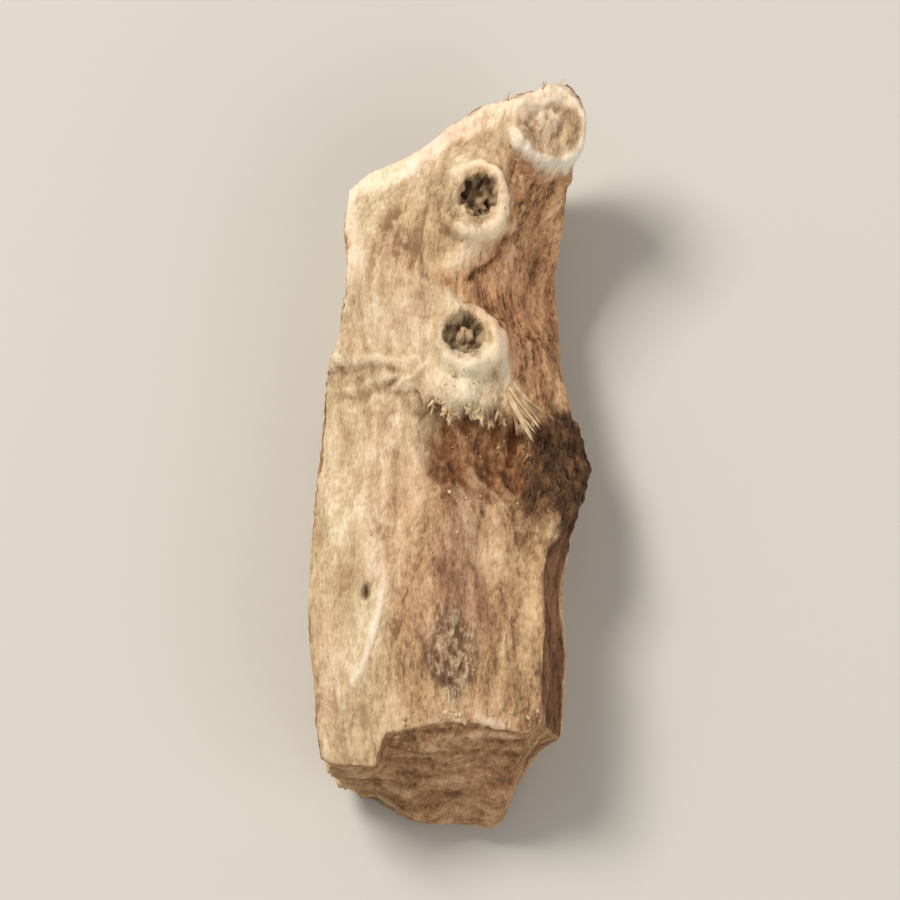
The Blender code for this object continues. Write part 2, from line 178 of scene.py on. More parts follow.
# Slanting folds of the bark, as (from, to, height), where a sunk one gets a brown line of painted shade
FOLDS = (
    ((-2.7, 3.2), (-0.7, 2.9), 0.06),
    ((-2.5, 2.9), (-1.2, 2.65), -0.06),
    ((-2.6, 2.3), (-1.2, 2.45), 0.045),
    ((-2.4, 2.05), (-1.2, 2.3), -0.045),
    ((-1.1, 2.0), (-0.3, 2.7), 0.06),
    ((-1.2, 2.0), (-0.4, 1.45), -0.055),
    ((-2.2, 1.75), (-1.2, 2.1), 0.04),
    ((2.0, 6.4), (0.95, 5.2), -0.08),
    ((-1.3, 6.5), (-0.75, 5.9), -0.04),
    ((-0.55, 5.95), (-0.3, 5.2), -0.045),
    ((-0.2, 7.0), (-0.4, 6.2), -0.035),
    ((-1.7, 6.6), (-1.6, 5.6), 0.04),
)
FOLD_HALF_WIDTH = 0.085
FOLD_END = 0.2
FOLD_SWAY = 0.12
FOLD_SWAY_WAVE = (0.9, 0.9, 0.9)
FOLD_SHADE = (0.08, 0.36)
FOLD_SHADE_BLOTCHES = (-0.6, 0.6)
SCAR_TAIL = {"from": (1.7, 6.7), "to": (0.4, 5.45), "half_width": 0.22, "height": 0.1, "paleness": 0.7}

# The pale rims of the root scars: their kind of surface, how strongly it shows, how high the rim stands over
# the solid's, and the direction of the side on which it is plainest, where its colour is a painted highlight
SCAR_RIMS = (
    {"kind": "lip", "strength": 1.0, "height": 0.08, "highlight_side": (0.45, -0.7)},
    {"kind": "rim", "strength": 1.0, "height": 0.11, "highlight_side": (0.9, 0.0)},
    {"kind": "rim", "strength": 0.6, "height": 0.09, "highlight_side": (0.95, -0.1)},
)
RIM_BAND = {"radius_share": 0.9, "outward": 0.06, "half_width": 0.15, "ragged": 0.06, "side": (-0.9, 0.5)}
RIM_WAVE = (0.45, 0.45, 0.45)
RIM_PATCHES = {"least": 0.6, "blotches": (-0.8, 0.5)}
DISH_BORDER = {"shares": (0.62, 0.9), "ragged": 0.1, "strength": 0.9}
HOLLOW_BORDER = {"wall": (-0.14, 0.04), "ragged": 0.05}
STRAND_BORDER = {"from_share": 0.6, "outward": 0.06, "rim": 0.6, "hollow": 0.8}
# How dark the hollows are painted for their depth, as painted shade
HOLLOW_SHADE = {"per_depth": 2.4, "less": 0.45}

# Blotches, which roughen every border between two kinds of surface
BLOTCHES = {"broad": (0.9, 1.6, 0.9), "fine": (0.3, 0.5, 0.3), "fine_share": 0.6}

# Borders, as (from, to, how far the blotches shift it)
BORDERS = {
    "flesh_edge_depth": (0.08, 0.24, 0.08),
    "shaded_strip_depth": (0.1, 0.3, 0.1),
    "shaded_strip_end": (1.0, 3.0, 0.0),
    "top_depth": (0.5, 1.4, 0.25),
    "boss_depth": (0.6, 1.6, 0.25),
    "red_above_node": (0.0, 0.3, 0.0),
    "red_beside_pale": (-0.1, 0.3, 0.0),
    "scrape_top": (-0.04, 0.06, 0.0),
    "scrape_foot": (1.5, 2.5, 0.6),
    "scrape_left": (-0.6, 0.3, 0.35),
    "lip_right_end": (3.6, 4.0, 0.0),
    "left_lip_start": (4.2, 6.2, 0.0),
    "cut_rim_start": (-1.6, 1.0, 0.0),
    "end_left_strip": (-2.4, -1.2, 0.3),
}
BOSS_FADE = 0.25
SCRAPE_SLANT = {"share": 0.25, "from_y": 0.3}
END_LEFT_STRENGTH = 0.6

# Pale bands beside an edge, as (middle, half width, how far the blotches shift it, strength)
BANDS = {
    "upper_lip": (0.28, 0.44, 0.12, 1.0),
    "left_lip": (0.2, 0.34, 0.12, 0.7),
    "cut_rim": (0.1, 0.16, 0.1, 0.5),
}
CUT_RIM_BLOTCHES = (-0.6, 0.8)
VEIN_PALENESS = 0.5

# Ragged spots of the bark, and the long column of darker bark in its middle
SPOTS = {
    "grey": {"at": (0.1, 7.75), "half_size": (0.8, 0.85), "ragged": (0.2, 0.2), "strength": 0.7},
    "tan": {"at": (-0.55, 6.4), "half_size": (1.25, 1.5), "ragged": (0.35, 0.4), "strength": 0.6},
    "deposit": {"at": (0.75, 2.15), "half_size": (1.2, 1.15), "ragged": (0.2, 0.2), "strength": 0.5},
    "sheath": {"at": (3.6, 0.1), "half_size": (1.6, 2.2), "ragged": (0.35, 0.4), "strength": 1.3},
    "worn": {"at": (0.4, -5.3), "half_size": (0.85, 1.45), "ragged": (0.16, 0.25), "strength": 1.6},
}
COLUMN = {"x": 0.65, "half_width": 0.75, "ragged": 0.2, "starts": (-6.6, -4.6), "ends": (-1.2, 0.4)}

# The bark's ragged foot on the right side
BARK_FOOT = {"heights": (1.55, 1.75), "ragged": 0.3, "wave": (0.7, 2.4, 0.7)}

# Fine relief, as (pattern, places that it follows, heights on smooth and on rough bark, wavelengths, seed,
# and the pattern's own setting: steps of plates, width of creases or share of pits)
SKIN_SWAY = {"by": 0.22, "wave": (1.7, 4.5, 1.7)}
SKIN_ROUGH = {"between": (-0.5, 0.6), "wave": (1.6, 3.0, 1.6)}
SKIN_RELIEF = (
    ("ripples", "grain", (0.03, 0.03), (0.6, 2.4, 0.6), 111, None),
    ("ripples", "grain", (0.012, 0.012), (0.16, 1.3, 0.16), 112, None),
    ("ripples", "points", (0.005, 0.016), (0.34, 0.6, 0.34), 113, None),
    ("ripples", "points", (0.004, 0.01), (0.13, 0.18, 0.13), 114, None),
    ("plates", "grain", (0.026, 0.026), (1.1, 3.2, 1.1), 115, 2),
    ("creases", "grain", (-0.04, -0.04), (0.7, 3.6, 0.7), 116, 0.05),
    ("creases", "points", (-0.0044, -0.022), (1.3, 0.8, 1.3), 117, 0.05),
    ("pits", "points", (0.0, -0.03), (0.4, 0.6, 0.4), 118, 0.1),
)
FLESH_SWAY = {"by": 0.15, "wave": (1.4, 5.0, 1.4)}
FLESH_RELIEF = (
    ("plates", "grain", (0.07, 0.07), (1.2, 7.0, 1.2), 121, 2),
    ("ripples", "grain", (0.035, 0.035), (0.24, 3.0, 0.24), 122, None),
    ("ripples", "grain", (0.02, 0.02), (0.12, 1.0, 0.12), 123, None),
    ("ripples", "points", (0.012, 0.012), (0.12, 0.14, 0.12), 124, None),
    ("pits", "grain", (-0.05, -0.05), (0.22, 0.42, 0.22), 125, 0.32),
)
END_LAYER_BOW = 0.1 / 3
END_GRAIN = (
    ("ripples", "grain", (0.035, 0.035), (2.2, 1.0, 0.42), 131, None),
    ("ripples", "points", (0.03, 0.03), (0.9, 0.9, 0.9), 132, None),
    ("ripples", "points", (0.01, 0.01), (0.16, 0.16, 0.16), 133, None),
    ("pits", "points", (-0.025, -0.025), (0.24, 0.24, 0.24), 134, 0.2),
    ("pits", "points", (0.04, 0.04), (0.5, 0.5, 0.5), 135, 0.12),
)
PLATE_STEP = (0.7, 1.0)
PIT_WAVES = 40
PIT_PEAK = 0.8
PIT_FLOOR = 0.4

# Fine relief of the scars: cracks that run out through the rings, lumps, and torn strands in the hollows
SCAR_FADES = {"ring": 0.3, "hollow": (-0.1, 0.05)}
SPOKE_PITCH = 0.3
SPOKES = {"height": 0.016, "wave": (0.7, 0.7, 1.0)}
SPOKE_CRACKS = {"depth": 0.022, "wave": (1.2, 1.2, 1.6), "width": 0.07}
RING_LUMPS = {"height": 0.012, "wave": (0.26, 0.26, 0.26)}
HOLLOW_STRANDS = {"share": 0.14, "wave": (0.3, 0.3, 0.6)}
HOLLOW_CRACKS = {"share": 0.08, "wave": (0.5, 0.5, 0.8), "width": 0.1}
WORN_LUMPS = {"height": 0.06, "wave": (0.24, 0.24, 0.24)}

# Extra relief of two kinds of surface, the share of the bark's relief that pale rims keep, and the relief, up
# or down, that shows fully in the colour
ROUGH_KINDS = (("sheath", 0.05, (0.26, 0.6, 0.26), 151), ("scrape", 0.04, (0.3, 0.5, 0.3), 152))
RIM_ROUGHNESS = 0.4
# Extra relief of two kinds of surface, the share of the bark's relief that pale rims keep, and the relief, up
# or down, that shows fully in the colour as painted shade where sunk and painted highlight where raised
SHADE_RELIEF_SPAN = 0.08

# Each kind of surface, in order of painting, as the screen colours of its hollows, body and raised spots; the
# relief picks these as painted shade in sunk places and painted highlight on raised ones, together with noise
SURFACES = {
    "flesh": ((160, 126, 88), (206, 174, 132), (234, 210, 172)),
    "edge": ((112, 78, 52), (156, 118, 82), (196, 158, 118)),
    "skin": ((126, 90, 62), (194, 156, 117), (230, 196, 158)),
    # The side kind: brown bark of the right face, painted darker than the skin as painted shade where that face
    # turns from the light
    "side": ((78, 50, 32), (134, 92, 63), (172, 130, 96)),
    "column": ((112, 80, 62), (166, 127, 97), (204, 168, 136)),
    "pale": ((172, 140, 106), (211, 184, 147), (242, 224, 194)),
    "red": ((108, 68, 44), (200, 150, 108), (248, 206, 168)),
    "scrape": ((76, 44, 27), (127, 83, 52), (180, 136, 100)),
    "worn": ((86, 62, 46), (136, 104, 78), (210, 184, 152)),
    "dish": ((140, 114, 86), (200, 171, 135), (238, 214, 182)),
    "lip": ((218, 188, 154), (253, 232, 206), (255, 247, 232)),
    "rim": ((206, 164, 124), (246, 206, 164), (255, 232, 200)),
    # The hollows' dark colours, used as painted shade in the scar hollows and in the small hole beside the
    # fibre
    "hollow": ((80, 62, 44), (128, 104, 76), (186, 160, 128)),
    "sheath": ((56, 36, 22), (94, 63, 40), (134, 98, 66)),
    "end": ((112, 80, 54), (171, 130, 94), (214, 178, 140)),
}
TINTS = ((0.97, 1.0, 0.955, 1.0), (1.0, 0.965, 0.96, 1.0))
TINT_NOISE = {"wavelength": (2.4, 3.6, 2.4), "detail": 2.0}
TINT_RANGE = (0.4, 0.6)

# The noises that choose between a kind's three colours, with each one's weight in the tone
TONE_NOISES = (
    ({"wavelength": (1.5, 2.4, 1.5)}, 0.55),
    ({"wavelength": (0.5, 1.0, 0.5), "roughness": 0.68}, 0.65),
    ({"wavelength": (0.22, 1.5, 0.22)}, 0.6),
    ({"wavelength": (0.14, 0.17, 0.14), "detail": 2.0}, 0.45),
    ({"wavelength": (0.05, 0.22, 0.05), "detail": 4.0, "roughness": 0.7}, 0.9),
)
# The relief's share in the tone: painted shade in sunk places and painted highlight on raised ones
RELIEF_SHADE_WEIGHT = 0.3
TONE_STOPS = (0.16, 0.5, 0.84)
BUMP = {"fibres": 0.9, "strength": 0.9, "distance": 0.04}
STRAND_NOISE = (0.3, 0.5, 0.3)
STRAND_NOISE_RANGE = (0.35, 0.65)

# Loose strands: each group's seed, how its strands turn, and their sizes. A pair is a mean and a spread for
# turn and bend, and two limits for the others.
UP, DOWN = math.pi / 2, -math.pi / 2
STRANDS = {
    "node_fringe": {"seed": 201, "turn": (-0.1, 0.45), "length": (0.14, 0.34), "lift": (0.0, 0.03),
                    "sag": 0.18, "bend": (0.0, 0.6), "radius": 0.055, "flatness": 0.6},
    "node_ribbons": {"seed": 205, "turn": (0.0, 0.05), "length": (0.9, 1.55), "lift": (0.0, 0.05),
                     "sag": 0.5, "bend": (0.1, 0.1), "radius": 0.055, "flatness": 0.6},
    "sheath_hairs": {"seed": 202, "turn": (0.0, 0.35), "length": (0.15, 0.36), "lift": (0.0, 0.01),
                     "sag": 0.2, "bend": (0.0, 0.2), "radius": 0.018, "flatness": 1.0},
    "frayed_fibres": {"seed": 203, "turn": (-0.3, 0.5), "length": (0.15, 0.34), "lift": 0.02,
                      "sag": -0.05, "bend": (0.0, 0.4), "radius": 0.02, "flatness": 1.0},
}
FRINGE = {"count": 34, "x": (-0.1, 1.9), "above_edge": (0.06, 0.2)}
RIBBON = {"count": 24, "at": (1.98, 2.25), "half_width": (0.12, 0.08), "uneven": 0.06,
          "heading": -1.0, "fan": 0.14}
SHEATH_HAIRS = {"count": 150, "x": (2.3, 3.85), "y": (-1.2, 1.3)}
FRAYED = {"count": 26, "x": (-2.2, 3.4), "z": 5.0, "inside": 0.12}
STRAND_THICKNESS = (0.6, 1.25)
STRAND_TAPER = 0.75
STRAND_ROOT_DEPTH = 0.04
STRAND_CLEARANCE = 0.02
PALE_STRANDS = ((180, 144, 102), (238, 214, 174))
DARK_STRANDS = ((58, 38, 24), (120, 90, 62))
CRUMB_COLOURS = ((156, 122, 86), (218, 192, 154))

# Crumbs, as (middle of the spot, spread, count, radius)
CRUMB_SPOTS = (
    ((1.1, 0.9), (0.8, 0.25), 14, 0.03),
    ((1.0, -0.9), (1.0, 0.2), 16, 0.026),
    ((0.9, -5.3), (0.25, 0.6), 14, 0.03),
    ((0.7, 2.5), (0.5, 0.25), 8, 0.03),
    ((1.2, -6.95), (1.1, 0.1), 30, 0.036),
    ((2.6, 7.4), (0.4, 0.7), 26, 0.036),
    ((0.2, 0.5), (2.8, 8.5), 60, 0.022),
)
CRUMB = {"seed": 204, "size_spread": 0.45, "stretch": (0.4, 1.9), "rough": (0.55, 1.35), "least_slope": 0.15}

# The studio and the camera, in metres and degrees
FLOOR_COLOUR = (206, 202, 194)
FLOOR_HALF_SIZE = 0.6
LIGHT_AIM = Vector((0, 0, 0.003))
LIGHTS = (
    {"name": "key", "place": (-0.12, 0.1, 0.22), "size": 0.09, "power": 0.62, "colour": (1.0, 0.96, 0.9)},
    {"name": "fill", "place": (0.16, -0.12, 0.14), "size": 0.25, "power": 0.2, "colour": (1.0, 0.98, 0.96)},
)
SKY_COLOUR = (1.0, 0.98, 0.95, 1.0)
SKY_STRENGTH = 0.36
CAMERA_DISTANCE = 0.3
FRAME_HEIGHT = 0.0245
CAMERA_ELEVATION = 76
CAMERA_AIM = Vector((0.0, 0.0001, 0.003))


def mix(a, b, share):
    return a + (b - a) * share


def smoothstep(low, high, value):
    share = np.clip((value - low) / (high - low), 0.0, 1.0)
    return share * share * (3.0 - 2.0 * share)


def within(wall, radius, distance):
    """0 inside a radius and 1 outside, over a wall from its inner to its outer offset from the radius."""
    return smoothstep(radius + wall[0], radius + wall[1], distance)


def smooth_max(a, b, softness):
    return 0.5 * (a + b + np.sqrt((a - b) ** 2 + softness**2))


def curve_through(stations, place):
    """The smooth curve through (place, value) stations, held at its end values past them."""
    places, values = np.array(stations).T
    slopes = np.gradient(values, places)
    first = np.clip(np.searchsorted(places, place) - 1, 0, len(places) - 2)
    span = places[first + 1] - places[first]
    t = np.clip((place - places[first]) / span, 0.0, 1.0)
    bend = (t**3 - 2 * t**2 + t) * slopes[first] + (t**3 - t**2) * slopes[first + 1]
    return mix(values[first], values[first + 1], t * t * (3 - 2 * t)) + bend * span


def ripples(points, wavelength, seed, waves=28):
    """Smooth irregular relief from -1 to 1: a sum of seeded waves, of that wavelength along each axis."""
    dice = np.random.default_rng(seed)
    turns = dice.normal(size=(waves, 3))
    turns /= np.linalg.norm(turns, axis=1, keepdims=True)
    turns *= dice.uniform(0.6, 1.5, (waves, 1))
    phases = dice.uniform(0.0, 2 * np.pi, waves)
    total = np.zeros(points.shape[:-1])
    for turn, phase in zip(turns, phases):
        total += np.cos(points @ (2 * np.pi * turn / np.array(wavelength)) + phase)
    return np.clip(total / np.sqrt(waves) * 0.75, -1.0, 1.0)


def plan(x, y):
    """Points in the plane seen from above, for ripples that must not change with height."""
    return np.stack([x, y, np.zeros_like(x)], axis=-1)


def node_line(x):
    """Where the node ring crosses the bark at x, with its ragged teeth."""
    teeth = NODE_TEETH * ripples(plan(x, 0 * x), NODE_TEETH_WAVE, seed=11)
    return curve_through(NODE_LINE, x) + teeth


def long_swell(x, y, swell):
    """A ridge or a groove that runs along the piece between two places."""
    low, high = swell["from_to"]
    across = np.exp(-(((x - swell["x"]) / swell["half_width"]) ** 2))
    along = smoothstep(low, low + SWELL_FADE, y) * (1 - smoothstep(high - SWELL_FADE, high, y))
    return swell["height"] * across * along


def patch(x, y, spot):
    """How far a point lies inside an oval spot, from 0 at its rim to 1 in its middle."""
    across = ((x - spot["at"][0]) / spot["half_size"][0]) ** 2
    along = ((y - spot["at"][1]) / spot["half_size"][1]) ** 2
    return 1 - smoothstep(0.25, 1.0, across + along)


def scar_places(x, y, number):
    """Distances from a root scar's centre, its hollow's centre and its torn strand, made uneven."""
    scar = ROOT_SCARS[number]
    dx, dy = x - scar["at"][0], y - scar["at"][1]
    heading = plan(dx, dy) / (0.2 + np.hypot(dx, dy))[..., None]
    wobble = 1 + SCAR_WOBBLE * ripples(heading, SCAR_WOBBLE_WAVE, seed=40 + number)
    hollow_x, hollow_y = dx - scar["hollow_off"][0], dy - scar["hollow_off"][1]
    from_strand = np.hypot(hollow_x - scar["strand_off"][0], hollow_y - scar["strand_off"][1])
    return np.hypot(dx, dy) * wobble, np.hypot(hollow_x, hollow_y) * wobble, from_strand


def scar_relief(x, y):
    """The raised, dished rings, hollows and torn strands of the root scars, and the worn scar."""
    relief = -WORN_SCAR["depth"] * patch(x, y, WORN_SCAR)
    for number, scar in enumerate(ROOT_SCARS):
        from_centre, from_hollow, from_strand = scar_places(x, y, number)
        radius, wall = scar["radius"], SCAR_WALL + SCAR_WALL_PER_RISE * scar["rise"]
        ring = 1 - smoothstep(radius - SCAR_SHOULDER, radius + wall, from_centre)
        inside = 1 - smoothstep(SCAR_DISH["from_share"] * radius, radius - SCAR_DISH["rim"], from_centre)
        lean = SCAR_LEAN * (x - scar["at"][0] - y + scar["at"][1]) / radius
        dished = min(scar["rise"], SCAR_DISH["deepest_rise"]) * (SCAR_DISH["depth"] * inside - lean)
        hollow = 1 - within(HOLLOW_WALL, scar["hollow"], from_hollow)
        strand = 1 - within(STRAND_WALL, STRAND_RADIUS, from_strand)
        relief += ring * (scar["rise"] - dished)
        relief += scar["depth"] * hollow * (STRAND_HEIGHT * strand - 1)
    return relief


def node_relief(x, y):
    """The lip of the node ring, faint on the left, and the scraped hollow below it."""
    strength = smoothstep(*NODE_STRONG_FROM, x)
    below = node_line(x) - y
    step = smoothstep(*NODE_LIP["edge"], below)
    lip = NODE_LIP["height"] * mix(NODE_LIP["faint_share"], 1.0, strength)
    lip *= 1 - smoothstep(*NODE_LIP["fades"], below)
    scraped = SCRAPED["depth"] * strength * (1 - smoothstep(*SCRAPED["fades"], below))
    scraped *= 1 - smoothstep(*SCRAPED["right_end"], x)
    from_swell = (below + NODE_SWELL["above"]) / NODE_SWELL["half_width"]
    swell = NODE_SWELL["height"] * np.exp(-(from_swell**2))
    return swell - step * (lip + scraped)


def break_line(x):
    """y of the upper break, seen from above."""
    return curve_through(UPPER_BREAK, x)


def upper_lip(x, y):
    """The raised lip of torn bark along the upper break, left of the highest scar."""
    inside = break_line(x) - y - UPPER_LIP["in_from_edge"]
    lip = np.exp(-((inside / UPPER_LIP["half_width"]) ** 2))
    return UPPER_LIP["height"] * lip * (1 - smoothstep(*UPPER_LIP["fades"], x))


def bark_height(x, y):
    """The height of the bark over a point of the plan."""
    side = x - curve_through(CREST_X, y)
    left = curve_through(LEFT_FALL, y) * np.maximum(-side, 0) ** LEFT_FALL_POWER
    right = curve_through(RIGHT_FALL, y) * np.maximum(side, 0) ** RIGHT_FALL_POWER
    height = curve_through(CREST_Z, y) - left - right
    height += SHEATH_STUMP["rise"] * patch(x, y, SHEATH_STUMP)
    height += long_swell(x, y, LEFT_RIDGE) + long_swell(x, y, LEFT_GROOVE) + upper_lip(x, y)
    height += WRINKLE_DEPTH * ripples(plan(x, y), WRINKLE_WAVE, seed=3)
    return height + node_relief(x, y) + scar_relief(x, y)


def underside_height(x, y):
    """The split face that the piece rests on: flat where it touches, hollowed along the grain between."""
    hollow = UNDERSIDE_HOLLOW * ripples(plan(x, y), (2.6, 8.5, 4.0), seed=21)
    return np.maximum(hollow - UNDERSIDE_LEVEL, 0.0)


def section(facet, share, y):
    """x and z of a point that lies at this share of a facet's width, on the section at y."""
    left, right = curve_through(LEFT_EDGE, y), curve_through(BARK_RIGHT_EDGE, y)
    foot_right, foot_left = curve_through(UNDERSIDE_RIGHT, y), curve_through(UNDERSIDE_LEFT, y)
    corners = {
        "bark": (left, bark_height(left, y)),
        "right_face": (right, bark_height(right, y)),
        "right_foot": (curve_through(RIGHT_KNEE_X, y), curve_through(RIGHT_KNEE_Z, y)),
        "underside": (foot_right, underside_height(foot_right, y)),
        "left_foot": (foot_left, underside_height(foot_left, y)),
        "left_face": (curve_through(LEFT_KNEE_X, y), curve_through(LEFT_KNEE_Z, y)),
    }
    names = list(corners)
    following = corners[names[(names.index(facet) + 1) % len(names)]]
    x, z = (mix(a, b, share) for a, b in zip(corners[facet], following))
    if facet == "bark":
        z = bark_height(x, y)
    elif facet == "underside":
        z = underside_height(x, y)
    return x, z


def lower_end(x, z):
    """y of the oblique cut across the lower end, where the left strip ends lower."""
    top_y, top_z = LOWER_CUT_TOP
    above, under = np.maximum(z, LOWER_CUT_FOOT_Z), np.maximum(LOWER_CUT_FOOT_Z - z, 0)
    cut = top_y - LOWER_CUT_LEAN * (top_z - above) + LOWER_CUT_UNDERCUT * under
    edge, width = LOWER_STEP["x"], LOWER_STEP["width"]
    cut -= LOWER_STEP["length"] * (1 - smoothstep(edge - width / 2, edge + width / 2, x))
    return smooth_max(cut, curve_through(LOWER_EDGE, x), LOWER_CUT_ROUNDING)


def upper_end(x, z):
    """y of the break across the upper end, which draws back below the bark."""
    return break_line(x) - UPPER_BREAK_UNDERCUT * np.maximum(UPPER_BREAK_UNDERCUT_Z - z, 0)


def end_relief(x, z, seed):
    """The torn grain of an end face, in and out along Y."""
    return END_RELIEF * ripples(np.stack([x, 0 * x, z], axis=-1), END_WAVE, seed)


def ring_facets():
    """The name of the facet that each point round a ring lies on."""
    return [facet for facet, count in FACET_POINTS.items() for _ in range(count)]


def body_rings():
    """The rings along the piece, as an array of rings by points by (x, y, z)."""
    along = curve_through(RING_SPACING, np.linspace(0.0, 1.0, BODY_RINGS))[:, None]
    facets = []
    for facet, count in FACET_POINTS.items():
        shares = np.arange(count) / count
        if facet == "bark":
            shares = curve_through(BARK_SPACING, shares)
        y = mix(LOWER_CUT_TOP[0], UPPER_BREAK[0][1], along) + 0 * shares
        for _ in range(SETTLING_STEPS):
            x, z = section(facet, shares, y)
            y = mix(y, mix(lower_end(x, z), upper_end(x, z), along), SETTLING_SHARE)
        facets.append(np.stack([x, y, z], axis=-1))
    return np.concatenate(facets, axis=1)


def end_rings(rim, end, seed):
    """Rings that close an end, from the rim inwards, with fewer points near the middle, and its middle."""
    middle = rim.mean(axis=0)
    rings = []
    for number in range(1, END_RINGS + 1):
        share = 1 - number / END_RINGS
        every = next(step for above, step in END_THINNING if share > above)
        x = mix(middle[0], rim[::every, 0], share)
        z = mix(middle[2], rim[::every, 2], share)
        y = end(x, z) + (1 - share**END_RELIEF_POWER) * end_relief(x, z, seed)
        rings.append(np.stack([x, y, z], axis=-1))
    return rings[:-1], rings[-1][0]


def grain_relief(rings):
    """Pushes the split sides in and out along the grain, and leaves the bark and the resting spots alone."""
    across = np.roll(rings, -1, axis=1) - np.roll(rings, 1, axis=1)
    along = np.gradient(rings, axis=0)
    normals = np.cross(along, across)
    normals /= np.linalg.norm(normals, axis=-1, keepdims=True)
    sides = np.array([facet not in ("bark", "underside") for facet in ring_facets()], float)
    sides = (sides + np.roll(sides, 1) + np.roll(sides, -1)) / 3
    depth = SPLIT_RELIEF * ripples(rings, SPLIT_WAVE, seed=31) * sides[None, :]
    moved = rings + normals * depth[..., None]
    moved[..., 2] = np.maximum(moved[..., 2], 0.0)
    return moved


def join_rings(shape, outer, inner):
    """Faces between two rings, where the inner ring has as many points as the outer one or half as many."""
    count = len(outer)
    half = len(inner) < count
    for n in range(count):
        following = (n + 1) % count
        if not half:
            shape.faces.new((outer[n], outer[following], inner[following], inner[n]))
        elif n % 2 == 0:
            shape.faces.new((outer[n], outer[following], inner[n // 2]))
        else:
            onward = following // 2
            shape.faces.new((outer[n], outer[following], inner[onward], inner[n // 2]))


def skin_mesh(name, chain, first_point, last_point):
    """One closed mesh over a chain of rings and the two points that close its ends."""
    shape = bmesh.new()
    rows = [[shape.verts.new(point) for point in ring] for ring in chain]
    first, last = shape.verts.new(first_point), shape.verts.new(last_point)
    for low, high in zip(rows, rows[1:]):
        if len(low) < len(high):
            join_rings(shape, high, low)
        else:
            join_rings(shape, low, high)
    for ring, tip in ((rows[0], first), (rows[-1], last)):
        for n in range(len(ring)):
            shape.faces.new((tip, ring[n], ring[(n + 1) % len(ring)]))
    bmesh.ops.recalc_face_normals(shape, faces=shape.faces)
    mesh = bpy.data.meshes.new(name)
    shape.to_mesh(mesh)
    shape.free()
    return mesh


def fade(limits, value):
    """1 before the first limit and 0 past the second."""
    return 1 - smoothstep(*limits, value)


def creases(points, wavelength, seed, width):
    """Thin lines, 1 along their middle and 0 away from them, where seeded ripples cross zero."""
    return np.exp(-((ripples(points, wavelength, seed) / width) ** 2))


def plates(points, wavelength, seed, steps):
    """Irregular plates at stepped heights from -1 to 1, with steep edges between them."""
    level = ripples(points, wavelength, seed) * steps
    floor = np.floor(level)
    return (floor + smoothstep(*PLATE_STEP, level - floor)) / steps


def pits(points, wavelength, seed, share):
    """Small rounded pits, 1 in their middle, that cover about this share of the surface."""
    level = 0.5 + 0.5 * ripples(points, wavelength, seed, waves=PIT_WAVES) / PIT_PEAK
    return smoothstep(1.0 - share, 1.0 - PIT_FLOOR * share, level)


PATTERNS = {"ripples": ripples, "creases": creases, "plates": plates, "pits": pits}


def layered_relief(layers, points, grain, rough):
    """The sum of several patterns, each with its height between smooth and rough places."""
    relief = np.zeros(len(points))
    for pattern, follows, heights, wavelength, seed, setting in layers:
        places = grain if follows == "grain" else points
        settings = () if setting is None else (setting,)
        relief += mix(*heights, rough) * PATTERNS[pattern](places, wavelength, seed, *settings)
    return relief


def bark_share(points, facets):
    """1 on bark and 0 on flesh. The bark also covers the upper part of the right side, to a ragged edge."""
    height = points[:, 2] + BARK_FOOT["ragged"] * ripples(points, BARK_FOOT["wave"], seed=105)
    reach = smoothstep(*BARK_FOOT["heights"], height)
    return np.where(facets == "bark", 1.0, np.where(facets == "right_face", reach, 0.0))


def vein(x, y):
    """The thin raised fibre on the left of the lower bark, from 0 to 1."""
    line = np.exp(-(((x - curve_through(VEIN_LINE, y)) / VEIN["half_width"]) ** 2))
    return line * smoothstep(*VEIN["starts"], y) * fade(VEIN["ends"], y)


def vein_hole(x, y):
    """The small hole beside the fibre, 1 inside it."""
    hole_x, hole_y = VEIN_HOLE["at"]
    return fade(VEIN_HOLE["wall"], np.hypot(x - hole_x, VEIN_HOLE["flattening"] * (y - hole_y)))


def fringe_line(x):
    """Where the torn skin over the scraped hollow ends, with lobes finer than the node ring's own teeth."""
    places = plan(x, 0 * x)
    lobes = np.abs(ripples(places, FRINGE_LOBES["wave"], seed=12)) - FRINGE_LOBES["middle"]
    teeth = FRINGE_LOBES["height"] * lobes
    teeth += FRINGE_SHREDS["height"] * ripples(places, FRINGE_SHREDS["wave"], seed=13)
    return node_line(x) + teeth * smoothstep(*FRINGE_STEP["starts"], x)


def fold_share(x, y, start, end, half_width):
    """A soft line between two points of the plan, 1 along its middle, that wanders a little to each side."""
    (x1, y1), (x2, y2) = start, end
    length = math.hypot(x2 - x1, y2 - y1)
    sway = FOLD_SWAY * ripples(plan(x, y), FOLD_SWAY_WAVE, seed=107)
    share = np.clip(((x - x1) * (x2 - x1) + (y - y1) * (y2 - y1)) / length**2, 0, 1)
    across = ((x - x1) * (y2 - y1) - (y - y1) * (x2 - x1)) / length + sway
    past_end = np.hypot(x - mix(x1, x2, share), y - mix(y1, y2, share)) - np.abs(across)
    return np.exp(-((across / half_width) ** 2) - (np.maximum(past_end, 0) / FOLD_END) ** 2)


def scar_tail(x, y):
    """The pale ridge that runs down from the middle scar's ring, from 0 to 1."""
    return fold_share(x, y, SCAR_TAIL["from"], SCAR_TAIL["to"], SCAR_TAIL["half_width"])


def fold_relief(x, y):
    """The slanting folds of the bark, and the ridge below the middle scar."""
    relief = SCAR_TAIL["height"] * scar_tail(x, y)
    for start, end, height in FOLDS:
        relief += height * fold_share(x, y, start, end, FOLD_HALF_WIDTH)
    return relief


def fold_shade(x, y):
    """The brown lines of painted shade in the sunk folds, from 0 to 1."""
    sunk = [(start, end) for start, end, height in FOLDS if height < 0]
    return np.maximum.reduce([fold_share(x, y, start, end, FOLD_HALF_WIDTH) for start, end in sunk])


